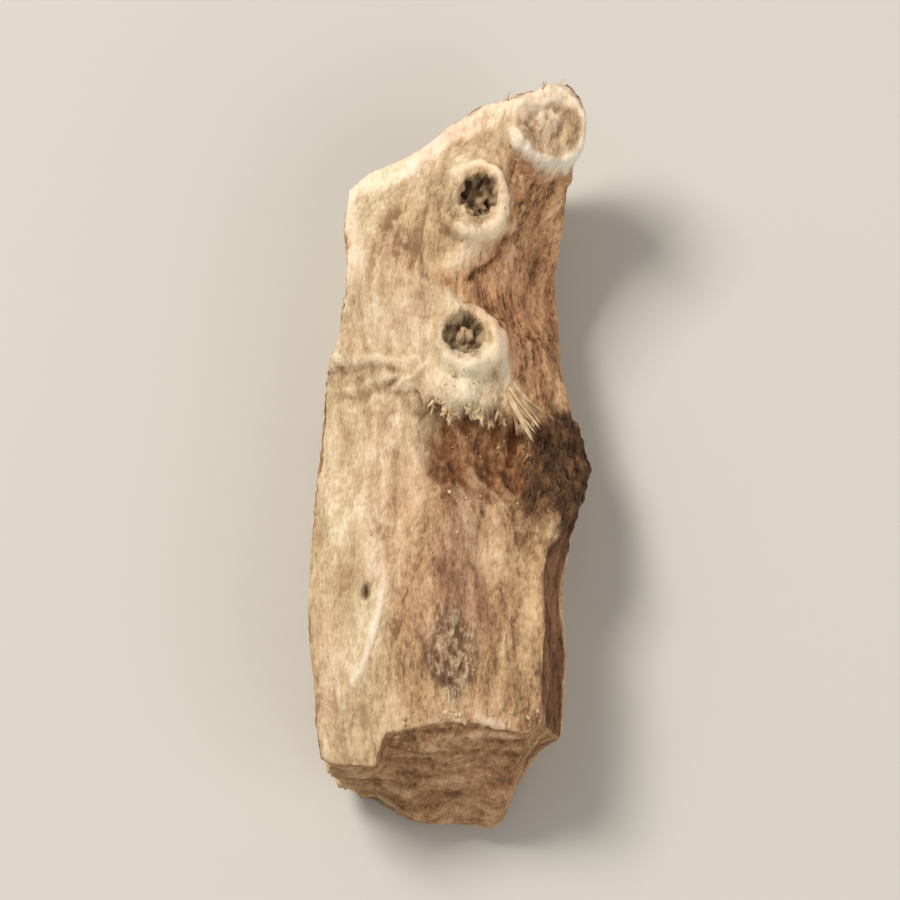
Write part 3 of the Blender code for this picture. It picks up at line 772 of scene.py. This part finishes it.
def rim_share(number, x, y, from_centre):
    """The pale rim of a scar, from 0 to 1, which is plainest on one side, where in the colour it is a painted
    highlight.
    """
    scar, (side_x, side_y) = ROOT_SCARS[number], SCAR_RIMS[number]["highlight_side"]
    middle = RIM_BAND["radius_share"] * scar["radius"] + RIM_BAND["outward"]
    uneven = RIM_BAND["ragged"] * ripples(plan(x, y), RIM_WAVE, seed=160 + number)
    band = np.exp(-(((from_centre - middle + uneven) / RIM_BAND["half_width"]) ** 4))
    lean = (side_x * (x - scar["at"][0]) + side_y * (y - scar["at"][1])) / scar["radius"]
    return band * smoothstep(*RIM_BAND["side"], lean)


def blotches(points):
    """Smooth uneven patches, positive and negative, that make the borders ragged."""
    fine = ripples(points, BLOTCHES["fine"], seed=102)
    return ripples(points, BLOTCHES["broad"], seed=101) + BLOTCHES["fine_share"] * fine


def past(border, value, blotch):
    """0 before a named border and 1 past it."""
    low, high, shift = BORDERS[border]
    return smoothstep(low, high, value + shift * blotch)


def pale_band(name, distance, blotch):
    """A named band beside an edge: its strength in its middle and 0 away from it."""
    middle, half_width, shift, strength = BANDS[name]
    return strength * np.exp(-(((distance - middle + shift * blotch) / half_width) ** 4))


def spot(name, x, y, blotch):
    """How much a named spot of the bark shows, from 0 to 1."""
    place = SPOTS[name]
    shift_x, shift_y = place["ragged"]
    inside = patch(x + shift_x * blotch, y + shift_y * blotch, place)
    return np.clip(place["strength"] * inside, 0, 1)


def bark_zones(shown, x, y, depth, skin, blotch):
    """Adds the pale and the red bark, the middle column and the spots of the bark."""
    softness = mix(PALE_SOFTNESS["below"], PALE_SOFTNESS["above"], smoothstep(*PALE_SOFTNESS["change"], y))
    stretch = smoothstep(*PALE_SOFT_STRETCH["starts"], y) * fade(PALE_SOFT_STRETCH["ends"], y)
    softness = softness + PALE_SOFT_STRETCH["extra"] * stretch
    past_edge = x - curve_through(PALE_EDGE, y) + PALE_SOFTNESS["ragged"] * blotch * np.sqrt(softness)
    boss_radius = ROOT_SCARS[0]["radius"]
    boss = fade((boss_radius, boss_radius + BOSS_FADE), scar_places(x, y, 0)[0])
    boss *= 1 - past("boss_depth", depth, blotch)
    column = np.exp(-(((x - COLUMN["x"] + COLUMN["ragged"] * blotch) / COLUMN["half_width"]) ** 2))
    shown["column"] = skin * column * smoothstep(*COLUMN["starts"], y) * fade(COLUMN["ends"], y)
    shown["pale"] = skin * np.maximum(fade((-softness, softness), past_edge), boss)
    shown["pale"] *= 1 - spot("tan", x, y, blotch)
    shown["red"] = skin * past("red_above_node", y - fringe_line(x), blotch) * (1 - boss)
    shown["red"] *= past("red_beside_pale", past_edge, blotch)
    shown["worn"] = skin * spot("worn", x, y, blotch)
    shown["dish"] = skin * spot("grey", x, y, blotch)
    # The small hole beside the fibre takes the hollows' dark colours, as painted shade
    shown["hollow"] = skin * vein_hole(x, y)
    shown["sheath"] = skin * spot("sheath", x, y, blotch)


def scraped_zone(x, y, skin, blotch):
    """The dark scraped hollow below the node ring, and the brown lines of painted shade in the bark's sunk
    folds.
    """
    below = fringe_line(x) - y
    from_left = x - SCRAPE_SLANT["share"] * (y - SCRAPE_SLANT["from_y"])
    scraped = past("scrape_top", below, blotch) * (1 - past("scrape_foot", below, blotch))
    scraped *= past("scrape_left", from_left, blotch)
    crease_shade = fold_shade(x, y) * mix(*FOLD_SHADE, smoothstep(*FOLD_SHADE_BLOTCHES, blotch))
    return skin * np.maximum(scraped, crease_shade)


def lip_zone(x, y, z, top, blotch):
    """The pale torn skin along the upper break, the left edge and the cut, the fibre, and pale deposits."""
    upper = pale_band("upper_lip", upper_end(x, z) - y, blotch) * (1 - past("lip_right_end", x, blotch))
    left = pale_band("left_lip", x - curve_through(LEFT_EDGE, y), blotch) * past("left_lip_start", y, blotch)
    cut = pale_band("cut_rim", y - lower_end(x, z), blotch) * past("cut_rim_start", x, blotch)
    cut *= smoothstep(*CUT_RIM_BLOTCHES, blotch)
    deposit = spot("deposit", x, y, blotch) * (y > fringe_line(x))
    return top * np.maximum.reduce([upper, left, cut, VEIN_PALENESS * vein(x, y), deposit])


def scar_zones(shown, x, y, top, blotch):
    """Adds the rims, plainest on one side as a painted highlight, the dished insides, the hollows, painted
    darker the deeper they are as painted shade, and the torn strands of the root scars.
    """
    for number, (scar, rim) in enumerate(zip(ROOT_SCARS, SCAR_RIMS)):
        from_centre, from_hollow, from_strand = scar_places(x, y, number)
        dish_from, dish_to = (share * scar["radius"] for share in DISH_BORDER["shares"])
        dish = fade((dish_from, dish_to), from_centre + DISH_BORDER["ragged"] * blotch)
        wall = [scar["hollow"] + offset for offset in HOLLOW_BORDER["wall"]]
        hollow = fade(wall, from_hollow + HOLLOW_BORDER["ragged"] * blotch)
        strand_edge = (STRAND_BORDER["from_share"] * STRAND_RADIUS, STRAND_RADIUS + STRAND_BORDER["outward"])
        strand = fade(strand_edge, from_strand)
        hollow_shade = min(1.0, HOLLOW_SHADE["per_depth"] * scar["depth"] - HOLLOW_SHADE["less"])
        pale = rim["strength"] * rim_share(number, x, y, from_centre)
        pale *= mix(RIM_PATCHES["least"], 1.0, smoothstep(*RIM_PATCHES["blotches"], blotch))
        pale = np.maximum(pale, STRAND_BORDER["rim"] * strand)
        dark = hollow * (1 - STRAND_BORDER["hollow"] * strand) * hollow_shade
        for kind, share in (("dish", DISH_BORDER["strength"] * dish), (rim["kind"], pale), ("hollow", dark)):
            shown[kind] = np.maximum(shown[kind], top * share)


def zones(points, facets, skin, end):
    """How much of each kind of surface each point shows, from 0 to 1."""
    x, y, z = points.T
    blotch = blotches(points)
    depth = np.maximum(bark_height(x, y) - z, 0)
    top = skin * (1 - past("top_depth", depth, blotch))
    shown = {"skin": skin, "edge": (1 - skin) * (1 - past("flesh_edge_depth", depth, blotch))}
    # The right face's brown bark low down is painted darker, as painted shade
    side = (facets == "right_face") * (1 - past("shaded_strip_end", y, blotch))
    shown["side"] = skin * side * past("shaded_strip_depth", depth, blotch)
    bark_zones(shown, x, y, depth, skin, blotch)
    shown["scrape"] = scraped_zone(x, y, skin, blotch)
    shown["lip"] = lip_zone(x, y, z, top, blotch)
    shown["rim"] = SCAR_TAIL["paleness"] * top * scar_tail(x, y)
    scar_zones(shown, x, y, top, blotch)
    shown["end"] = end * mix(END_LEFT_STRENGTH, 1.0, past("end_left_strip", x, blotch)) * (1 - shown["edge"])
    return shown


def skin_relief(points):
    """Fine relief of the dried bark, in millimetres along its normal."""
    x, y, z = points.T
    sway = SKIN_SWAY["by"] * ripples(points, SKIN_SWAY["wave"], seed=110)
    rough = smoothstep(*SKIN_ROUGH["between"], ripples(points, SKIN_ROUGH["wave"], seed=119))
    grain = np.stack([x + sway, y, z], axis=-1)
    return layered_relief(SKIN_RELIEF, points, grain, rough) + fold_relief(x, y)


def flesh_relief(points):
    """Fine relief of the split sides: strands and ledges along the grain, and pores of the spongy flesh."""
    x, y, z = points.T
    sway = FLESH_SWAY["by"] * ripples(points, FLESH_SWAY["wave"], seed=120)
    return layered_relief(FLESH_RELIEF, points, np.stack([x + sway, y, z + sway], axis=-1), 0.0)


def end_grain_relief(points):
    """Fine relief of the cut ends: bowed layers, pores, and strand ends that stand out."""
    x, _, z = points.T
    layers = np.stack([x, 0 * x, z + END_LAYER_BOW * x * x], axis=-1)
    return layered_relief(END_GRAIN, points, layers, 0.0)


def scar_grain_relief(points):
    """Fine relief of the scars: cracks that run out through the rings, and torn strands in the hollows."""
    x, y, z = points.T
    relief = np.zeros_like(x)
    for number, scar in enumerate(ROOT_SCARS):
        from_centre, from_hollow, _ = scar_places(x, y, number)
        angle = np.arctan2(y - scar["at"][1], x - scar["at"][0])
        spokes = np.stack([np.cos(angle), np.sin(angle), SPOKE_PITCH * from_centre], axis=-1)
        ring = fade((scar["radius"], scar["radius"] + SCAR_FADES["ring"]), from_centre)
        hollow = fade([scar["hollow"] + offset for offset in SCAR_FADES["hollow"]], from_hollow)
        cracks = creases(spokes, SPOKE_CRACKS["wave"], 143 + number, SPOKE_CRACKS["width"])
        relief += SPOKES["height"] * ring * ripples(spokes, SPOKES["wave"], 140 + number)
        relief += RING_LUMPS["height"] * ring * ripples(points, RING_LUMPS["wave"], 150)
        relief += SCAR_RIMS[number]["height"] * rim_share(number, x, y, from_centre)
        relief -= SPOKE_CRACKS["depth"] * ring * cracks
        strands_share = HOLLOW_STRANDS["share"] * ripples(points, HOLLOW_STRANDS["wave"], 146 + number)
        cracks = creases(points, HOLLOW_CRACKS["wave"], 153 + number, HOLLOW_CRACKS["width"])
        relief += scar["depth"] * hollow * (strands_share - HOLLOW_CRACKS["share"] * cracks)
    relief *= 1 - past("top_depth", bark_height(x, y) - z, 0.0)
    return relief + WORN_LUMPS["height"] * patch(x, y, WORN_SCAR) * ripples(points, WORN_LUMPS["wave"], 149)


def bark_details(x, y):
    """Relief of the thin fibre and its hole, and of the fine teeth of the torn skin."""
    added = smoothstep(*FRINGE_STEP["edge"], fringe_line(x) - y)
    step = added - smoothstep(*NODE_LIP["edge"], node_line(x) - y)
    torn = smoothstep(*FRINGE_STEP["starts"], x) * fade(FRINGE_STEP["ends"], x)
    teeth = FRINGE_STEP["depth"] * step * torn
    return VEIN["height"] * vein(x, y) - VEIN_HOLE["depth"] * vein_hole(x, y) - teeth


def add_mask(mesh, name, values):
    layer = mesh.attributes.new(name, "FLOAT", "POINT")
    layer.data.foreach_set("value", np.ascontiguousarray(values, np.float32))


def vertex_places(mesh):
    places = np.empty(len(mesh.vertices) * 3, np.float32)
    mesh.vertices.foreach_get("co", places)
    return places.reshape(-1, 3).astype(float)


def vertex_normals(mesh):
    normals = np.empty(len(mesh.vertices) * 3, np.float32)
    mesh.vertex_normals.foreach_get("vector", normals)
    return normals.reshape(-1, 3).astype(float)


def soften_creases(rings):
    """Rounds the creases between the facets by the width of about two points."""
    for _ in range(2):
        rings = 0.5 * rings + 0.25 * (np.roll(rings, 1, axis=1) + np.roll(rings, -1, axis=1))
    return rings


def root_relief(base, skin, end, shown):
    """Fine relief of the whole surface, in millimetres along its normal."""
    pale = np.maximum(shown["rim"], shown["lip"])
    relief = skin * skin_relief(base) * mix(1.0, RIM_ROUGHNESS, pale) + end * end_grain_relief(base)
    relief += skin * (scar_grain_relief(base) + bark_details(base[:, 0], base[:, 1]))
    relief += (1 - skin) * (1 - end) * flesh_relief(base)
    for kind, height, wavelength, seed in ROUGH_KINDS:
        relief += shown[kind] * height * ripples(base, wavelength, seed)
    return relief


def root_mesh():
    """The whole piece with its fine relief, and a mask for each kind of surface, in drawing millimetres."""
    body = soften_creases(grain_relief(body_rings()))
    lower, lower_point = end_rings(body[0], lower_end, seed=51)
    upper, upper_point = end_rings(body[-1], upper_end, seed=61)
    mesh = skin_mesh(NODE + "_surface", lower[::-1] + list(body) + upper, lower_point, upper_point)
    before, after = sum(len(ring) for ring in lower), sum(len(ring) for ring in upper) + 2
    facets = np.array(["end"] * before + ring_facets() * len(body) + ["end"] * after)
    base = vertex_places(mesh)
    end = (facets == "end").astype(float)
    skin = bark_share(base, facets)
    shown = zones(base, facets, skin, end)
    relief = root_relief(base, skin, end, shown)
    placed = base + vertex_normals(mesh) * relief[:, None]
    placed[:, 2] = np.maximum(placed[:, 2], 0.0)
    mesh.vertices.foreach_set("co", placed.astype(np.float32).ravel())
    for name, values in shown.items():
        add_mask(mesh, name, values)
    # The relief as a mask for the colour, which paints shade into sunk places and highlight onto raised ones
    add_mask(mesh, "raised", np.clip(relief / SHADE_RELIEF_SPAN, -1.0, 1.0))
    return mesh


def screen_colour(levels):
    """The linear colour of three screen levels from 0 to 255."""
    share = np.array(levels) / 255
    linear = np.where(share > 0.04045, ((share + 0.055) / 1.055) ** 2.4, share / 12.92)
    return (*linear.tolist(), 1.0)


def add_node(tree, kind, inputs=None, **settings):
    """A new node, with its inputs set to values or linked to other nodes' sockets."""
    node = tree.nodes.new("ShaderNode" + kind)
    for setting, value in settings.items():
        setattr(node, setting, value)
    for place, value in (inputs or {}).items():
        if isinstance(value, bpy.types.NodeSocket):
            tree.links.new(value, node.inputs[place])
        else:
            node.inputs[place].default_value = value
    return node


def blend_colours(tree, share, a, b):
    return add_node(tree, "Mix", {0: share, 6: a, 7: b}, data_type="RGBA").outputs[2]


def calculate(tree, operation, *values, clamp=False):
    return add_node(tree, "Math", dict(enumerate(values)), operation=operation, use_clamp=clamp).outputs[0]


def rescale(tree, value, low, high, new_low=0.0, new_high=1.0):
    inputs = {"Value": value, "From Min": low, "From Max": high, "To Min": new_low, "To Max": new_high}
    return add_node(tree, "MapRange", inputs).outputs[0]


def mask(tree, name):
    return add_node(tree, "Attribute", attribute_name=name).outputs["Fac"]


def grain_noise(tree, wavelength, detail=3.0, roughness=0.6):
    """Noise whose lumps are that long, in millimetres, along each axis of the piece."""
    place = add_node(tree, "TexCoord").outputs["Object"]
    scale = tuple(1 / (size * MM) for size in wavelength)
    placed = add_node(tree, "Mapping", {"Vector": place, "Scale": scale}).outputs[0]
    inputs = {"Vector": placed, "Scale": 1.0, "Detail": detail, "Roughness": roughness}
    return add_node(tree, "TexNoise", inputs).outputs[0]


def new_material(name, roughness, specular):
    """A material with its node tree and its Principled shader."""
    material = bpy.data.materials.new(name)
    material.use_nodes = True
    surface = material.node_tree.nodes["Principled BSDF"]
    surface.inputs["Roughness"].default_value = roughness
    surface.inputs["Specular IOR Level"].default_value = specular
    return material, material.node_tree, surface


def root_colour(tree, tone):
    """Each kind's three colours laid over the flesh's, mixed by the tone, and tinted in patches."""
    shades = []
    for level in range(3):
        colour = screen_colour(SURFACES["flesh"][level])
        for name, colours in list(SURFACES.items())[1:]:
            colour = blend_colours(tree, mask(tree, name), colour, screen_colour(colours[level]))
        shades.append(colour)
    dark, body, bright = shades
    low, middle, high = TONE_STOPS
    colour = blend_colours(tree, rescale(tree, tone, low, middle), dark, body)
    colour = blend_colours(tree, rescale(tree, tone, middle, high), colour, bright)
    hue = grain_noise(tree, **TINT_NOISE)
    tint = blend_colours(tree, rescale(tree, hue, *TINT_RANGE), *TINTS)
    tinted = add_node(tree, "Mix", {0: 1.0, 6: colour, 7: tint}, data_type="RGBA", blend_type="MULTIPLY")
    return tinted.outputs[2]


def root_material():
    """The root's surface: each kind's three colours, picked by its relief (painted shade where sunk, painted
    highlight where raised) and by noise along the grain.
    """
    material, tree, surface = new_material("dried_root", 0.85, 0.25)
    noises = [(grain_noise(tree, **noise), weight) for noise, weight in TONE_NOISES]
    tone = calculate(tree, "MULTIPLY_ADD", mask(tree, "raised"), RELIEF_SHADE_WEIGHT, 0.5)
    for noise, weight in noises:
        centred = calculate(tree, "SUBTRACT", noise, 0.5)
        tone = calculate(tree, "MULTIPLY_ADD", centred, weight, tone)
    tree.links.new(root_colour(tree, tone), surface.inputs["Base Color"])
    (specks, _), (fibres, _) = noises[-2:]
    height = calculate(tree, "MULTIPLY_ADD", fibres, BUMP["fibres"], specks)
    inputs = {"Strength": BUMP["strength"], "Distance": BUMP["distance"] * MM, "Height": height}
    tree.links.new(add_node(tree, "Bump", inputs).outputs[0], surface.inputs["Normal"])
    return material


def strand_material(name, colours, roughness=0.7):
    """A dry plant strand: a colour that wanders between two, along and between strands."""
    material, tree, surface = new_material(name, roughness, 0.3)
    share = rescale(tree, grain_noise(tree, STRAND_NOISE), *STRAND_NOISE_RANGE)
    dark, bright = (screen_colour(levels) for levels in colours)
    tree.links.new(blend_colours(tree, share, dark, bright), surface.inputs["Base Color"])
    return material


def add_strand(shape, path, radius, flatness=1.0, sides=6):
    """A thin strand along a path, round or flattened, and tapered to a point at its far end."""
    path = [Vector(point) for point in path]
    turns = [2 * math.pi * n / sides for n in range(sides)]
    rings = []
    for number, point in enumerate(path[:-1]):
        ahead = (path[number + 1] - path[max(number - 1, 0)]).normalized()
        side = ahead.cross(Vector((0, 0, 1))).normalized()
        up = flatness * side.cross(ahead)
        width = radius * (1 - STRAND_TAPER * (number / len(path)) ** 2)
        corners = [point + width * (math.cos(turn) * side + math.sin(turn) * up) for turn in turns]
        rings.append([shape.verts.new(corner) for corner in corners])
    tip = shape.verts.new(path[-1])
    for low, high in zip(rings, rings[1:]):
        for n in range(sides):
            following = (n + 1) % sides
            shape.faces.new((low[n], low[following], high[following], high[n]))
    for n in range(sides):
        shape.faces.new((rings[-1][n], rings[-1][(n + 1) % sides], tip))
    shape.faces.new(rings[0][::-1])


def ground(surface, x, y):
    """The height and the normal of the root's surface at a point of the plan."""
    point, normal, _, _ = surface.ray_cast(Vector((x, y, 20.0)), Vector((0, 0, -1)))
    return (point.z, normal) if point else (None, None)


def lying_path(surface, start, heading, length, lift, sag, bend, steps=9):
    """A strand's path that starts sunk in the surface, arches up, and comes down towards it again."""
    height, _ = ground(surface, *start)
    if height is None:
        return None
    path = []
    for number in range(steps):
        t = number / (steps - 1)
        angle = heading + bend * t
        x = start[0] + math.cos(angle) * length * t
        y = start[1] + math.sin(angle) * length * t
        below, _ = ground(surface, x, y)
        free = height - STRAND_ROOT_DEPTH + lift * math.sin(math.pi * t) - sag * t * t
        if below is not None and number > 0:
            free = max(free, below + STRAND_CLEARANCE)
        path.append((x, y, free))
    return path


def drawn(dice, limits):
    """A number drawn evenly between two limits, or the one number given."""
    return dice.uniform(*limits) if isinstance(limits, tuple) else limits


def loose_piece(name, shape, material):
    """An object from a bmesh in drawing millimetres, moved to the frame, that rides on the root."""
    mesh = bpy.data.meshes.new(name)
    shape.to_mesh(mesh)
    shape.free()
    return framed_object(name, mesh, material)


def framed_object(name, mesh, material):
    places = (vertex_places(mesh) - CENTRE) * MM
    mesh.vertices.foreach_set("co", places.astype(np.float32).ravel())
    mesh.materials.append(material)
    mesh.shade_smooth()
    piece = bpy.data.objects.new(name, mesh)
    bpy.context.scene.collection.objects.link(piece)
    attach(piece, "root")
    return piece


def strands(name, starts, surface, material):
    """One piece made of a group's strands, each from where and in which direction it starts."""
    group = STRANDS[name]
    dice = np.random.default_rng(group["seed"])
    rows = []
    for start, heading in starts(dice):
        heading += dice.normal(*group["turn"])
        length, lift = dice.uniform(*group["length"]), drawn(dice, group["lift"])
        rows.append((start, heading, length, lift, group["sag"], dice.normal(*group["bend"])))
    shape = bmesh.new()
    dice = np.random.default_rng(len(rows))
    for row in rows:
        path = lying_path(surface, *row)
        if path:
            add_strand(shape, path, group["radius"] * dice.uniform(*STRAND_THICKNESS), group["flatness"])
    return loose_piece(name, shape, material)


def fringe_starts(dice):
    """Short curled shreds of torn skin along the node ring."""
    for x in dice.uniform(*FRINGE["x"], FRINGE["count"]):
        yield (x, float(fringe_line(np.array(x))) + dice.uniform(*FRINGE["above_edge"])), DOWN


def ribbon_starts(dice):
    """The torn fibrous ribbon that slants and spreads from the lowest root scar to the sheath."""
    (x, y), (half_x, half_y) = RIBBON["at"], RIBBON["half_width"]
    for across in np.linspace(-1.0, 1.0, RIBBON["count"]):
        start = (x + half_x * across, y + half_y * across + dice.normal(0, RIBBON["uneven"]))
        yield start, RIBBON["heading"] + RIBBON["fan"] * across


def sheath_starts(dice):
    """Dark hairs and shreds of the old leaf sheath, on the bulge right of the node."""
    for _ in range(SHEATH_HAIRS["count"]):
        yield (dice.uniform(*SHEATH_HAIRS["x"]), dice.uniform(*SHEATH_HAIRS["y"])), DOWN


def frayed_starts(dice):
    """Fine pale fibres at the broken upper end."""
    for _ in range(FRAYED["count"]):
        x = dice.uniform(*FRAYED["x"])
        yield (x, float(upper_end(np.array(x), np.array(FRAYED["z"]))) - FRAYED["inside"]), UP


def add_crumb(shape, place, size, dice):
    """One rough, turned and stretched crumb."""
    radius = size * math.exp(dice.normal(0, CRUMB["size_spread"]))
    made = bmesh.ops.create_icosphere(shape, subdivisions=1, radius=radius)["verts"]
    stretch = Vector(dice.uniform(*CRUMB["stretch"], 3))
    turn = Euler(dice.uniform(0, math.pi, 3)).to_matrix()
    for vertex in made:
        vertex.co = turn @ (vertex.co * stretch * dice.uniform(*CRUMB["rough"])) + Vector(place)


def crumbs(surface, material):
    """Crumbs of dried flesh and bark that cling to the surface, thickest in the scars and under the node."""
    dice = np.random.default_rng(CRUMB["seed"])
    shape = bmesh.new()
    for centre, spread, count, size in CRUMB_SPOTS:
        for _ in range(count):
            x, y = dice.normal(centre, spread)
            height, normal = ground(surface, x, y)
            if height is not None and normal.z >= CRUMB["least_slope"]:
                add_crumb(shape, (x, y, height), size, dice)
    return loose_piece("crumbs", shape, material)


def area_light(name, place, size, power, colour):
    data = bpy.data.lights.new(name, "AREA")
    data.size = size
    data.energy = power
    data.color = colour
    light = bpy.data.objects.new(name, data)
    light.location = place
    light.rotation_euler = (LIGHT_AIM - Vector(place)).to_track_quat("-Z", "Y").to_euler()
    bpy.context.scene.collection.objects.link(light)


def lay_floor():
    """The plain pale floor that the piece lies on."""
    shape = bmesh.new()
    bmesh.ops.create_grid(shape, x_segments=1, y_segments=1, size=FLOOR_HALF_SIZE)
    mesh = bpy.data.meshes.new("floor")
    shape.to_mesh(mesh)
    shape.free()
    material, _, surface = new_material("floor", 0.9, 0.2)
    surface.inputs["Base Color"].default_value = screen_colour(FLOOR_COLOUR)
    mesh.materials.append(material)
    floor = bpy.data.objects.new("floor", mesh)
    bpy.context.scene.collection.objects.link(floor)


def studio():
    """A soft light from the upper left, a weak fill and an even sky over the floor, in metres."""
    lay_floor()
    for light in LIGHTS:
        area_light(**light)
    world = bpy.data.worlds.new("studio")
    world.use_nodes = True
    sky = world.node_tree.nodes["Background"]
    sky.inputs["Color"].default_value = SKY_COLOUR
    sky.inputs["Strength"].default_value = SKY_STRENGTH
    bpy.context.scene.world = world
    bpy.context.scene.view_settings.view_transform = "Standard"


def camera():
    """The photograph's view: from in front and high above, close enough for the piece to fill the frame."""
    data = bpy.data.cameras.new("camera")
    data.lens = data.sensor_width * CAMERA_DISTANCE / FRAME_HEIGHT
    data.clip_start = 0.01
    view = bpy.data.objects.new("camera", data)
    elevation = math.radians(CAMERA_ELEVATION)
    view.location = CAMERA_AIM + CAMERA_DISTANCE * Vector((0, -math.cos(elevation), math.sin(elevation)))
    view.rotation_euler = (CAMERA_AIM - view.location).to_track_quat("-Z", "Y").to_euler()
    bpy.context.scene.collection.objects.link(view)
    bpy.context.scene.camera = view


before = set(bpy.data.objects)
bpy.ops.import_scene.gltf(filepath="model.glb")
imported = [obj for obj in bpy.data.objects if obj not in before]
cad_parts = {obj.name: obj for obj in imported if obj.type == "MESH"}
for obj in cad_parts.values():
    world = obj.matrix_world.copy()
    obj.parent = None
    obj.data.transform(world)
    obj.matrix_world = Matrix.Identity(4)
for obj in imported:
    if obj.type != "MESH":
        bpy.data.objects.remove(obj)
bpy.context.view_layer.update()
camera()
studio()

root = root_mesh()
finder = bmesh.new()
finder.from_mesh(root)
root_surface = BVHTree.FromBMesh(finder)
finder.free()
piece = framed_object(NODE + "_surface", root, root_material())
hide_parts(NODE)

pale_strand = strand_material("pale_strands", PALE_STRANDS)
dark_strand = strand_material("dark_strands", DARK_STRANDS)
strands("node_fringe", fringe_starts, root_surface, pale_strand)
strands("node_ribbons", ribbon_starts, root_surface, pale_strand)
strands("sheath_hairs", sheath_starts, root_surface, dark_strand)
strands("frayed_fibres", frayed_starts, root_surface, pale_strand)
crumbs(root_surface, strand_material("crumbs", CRUMB_COLOURS, roughness=0.9))
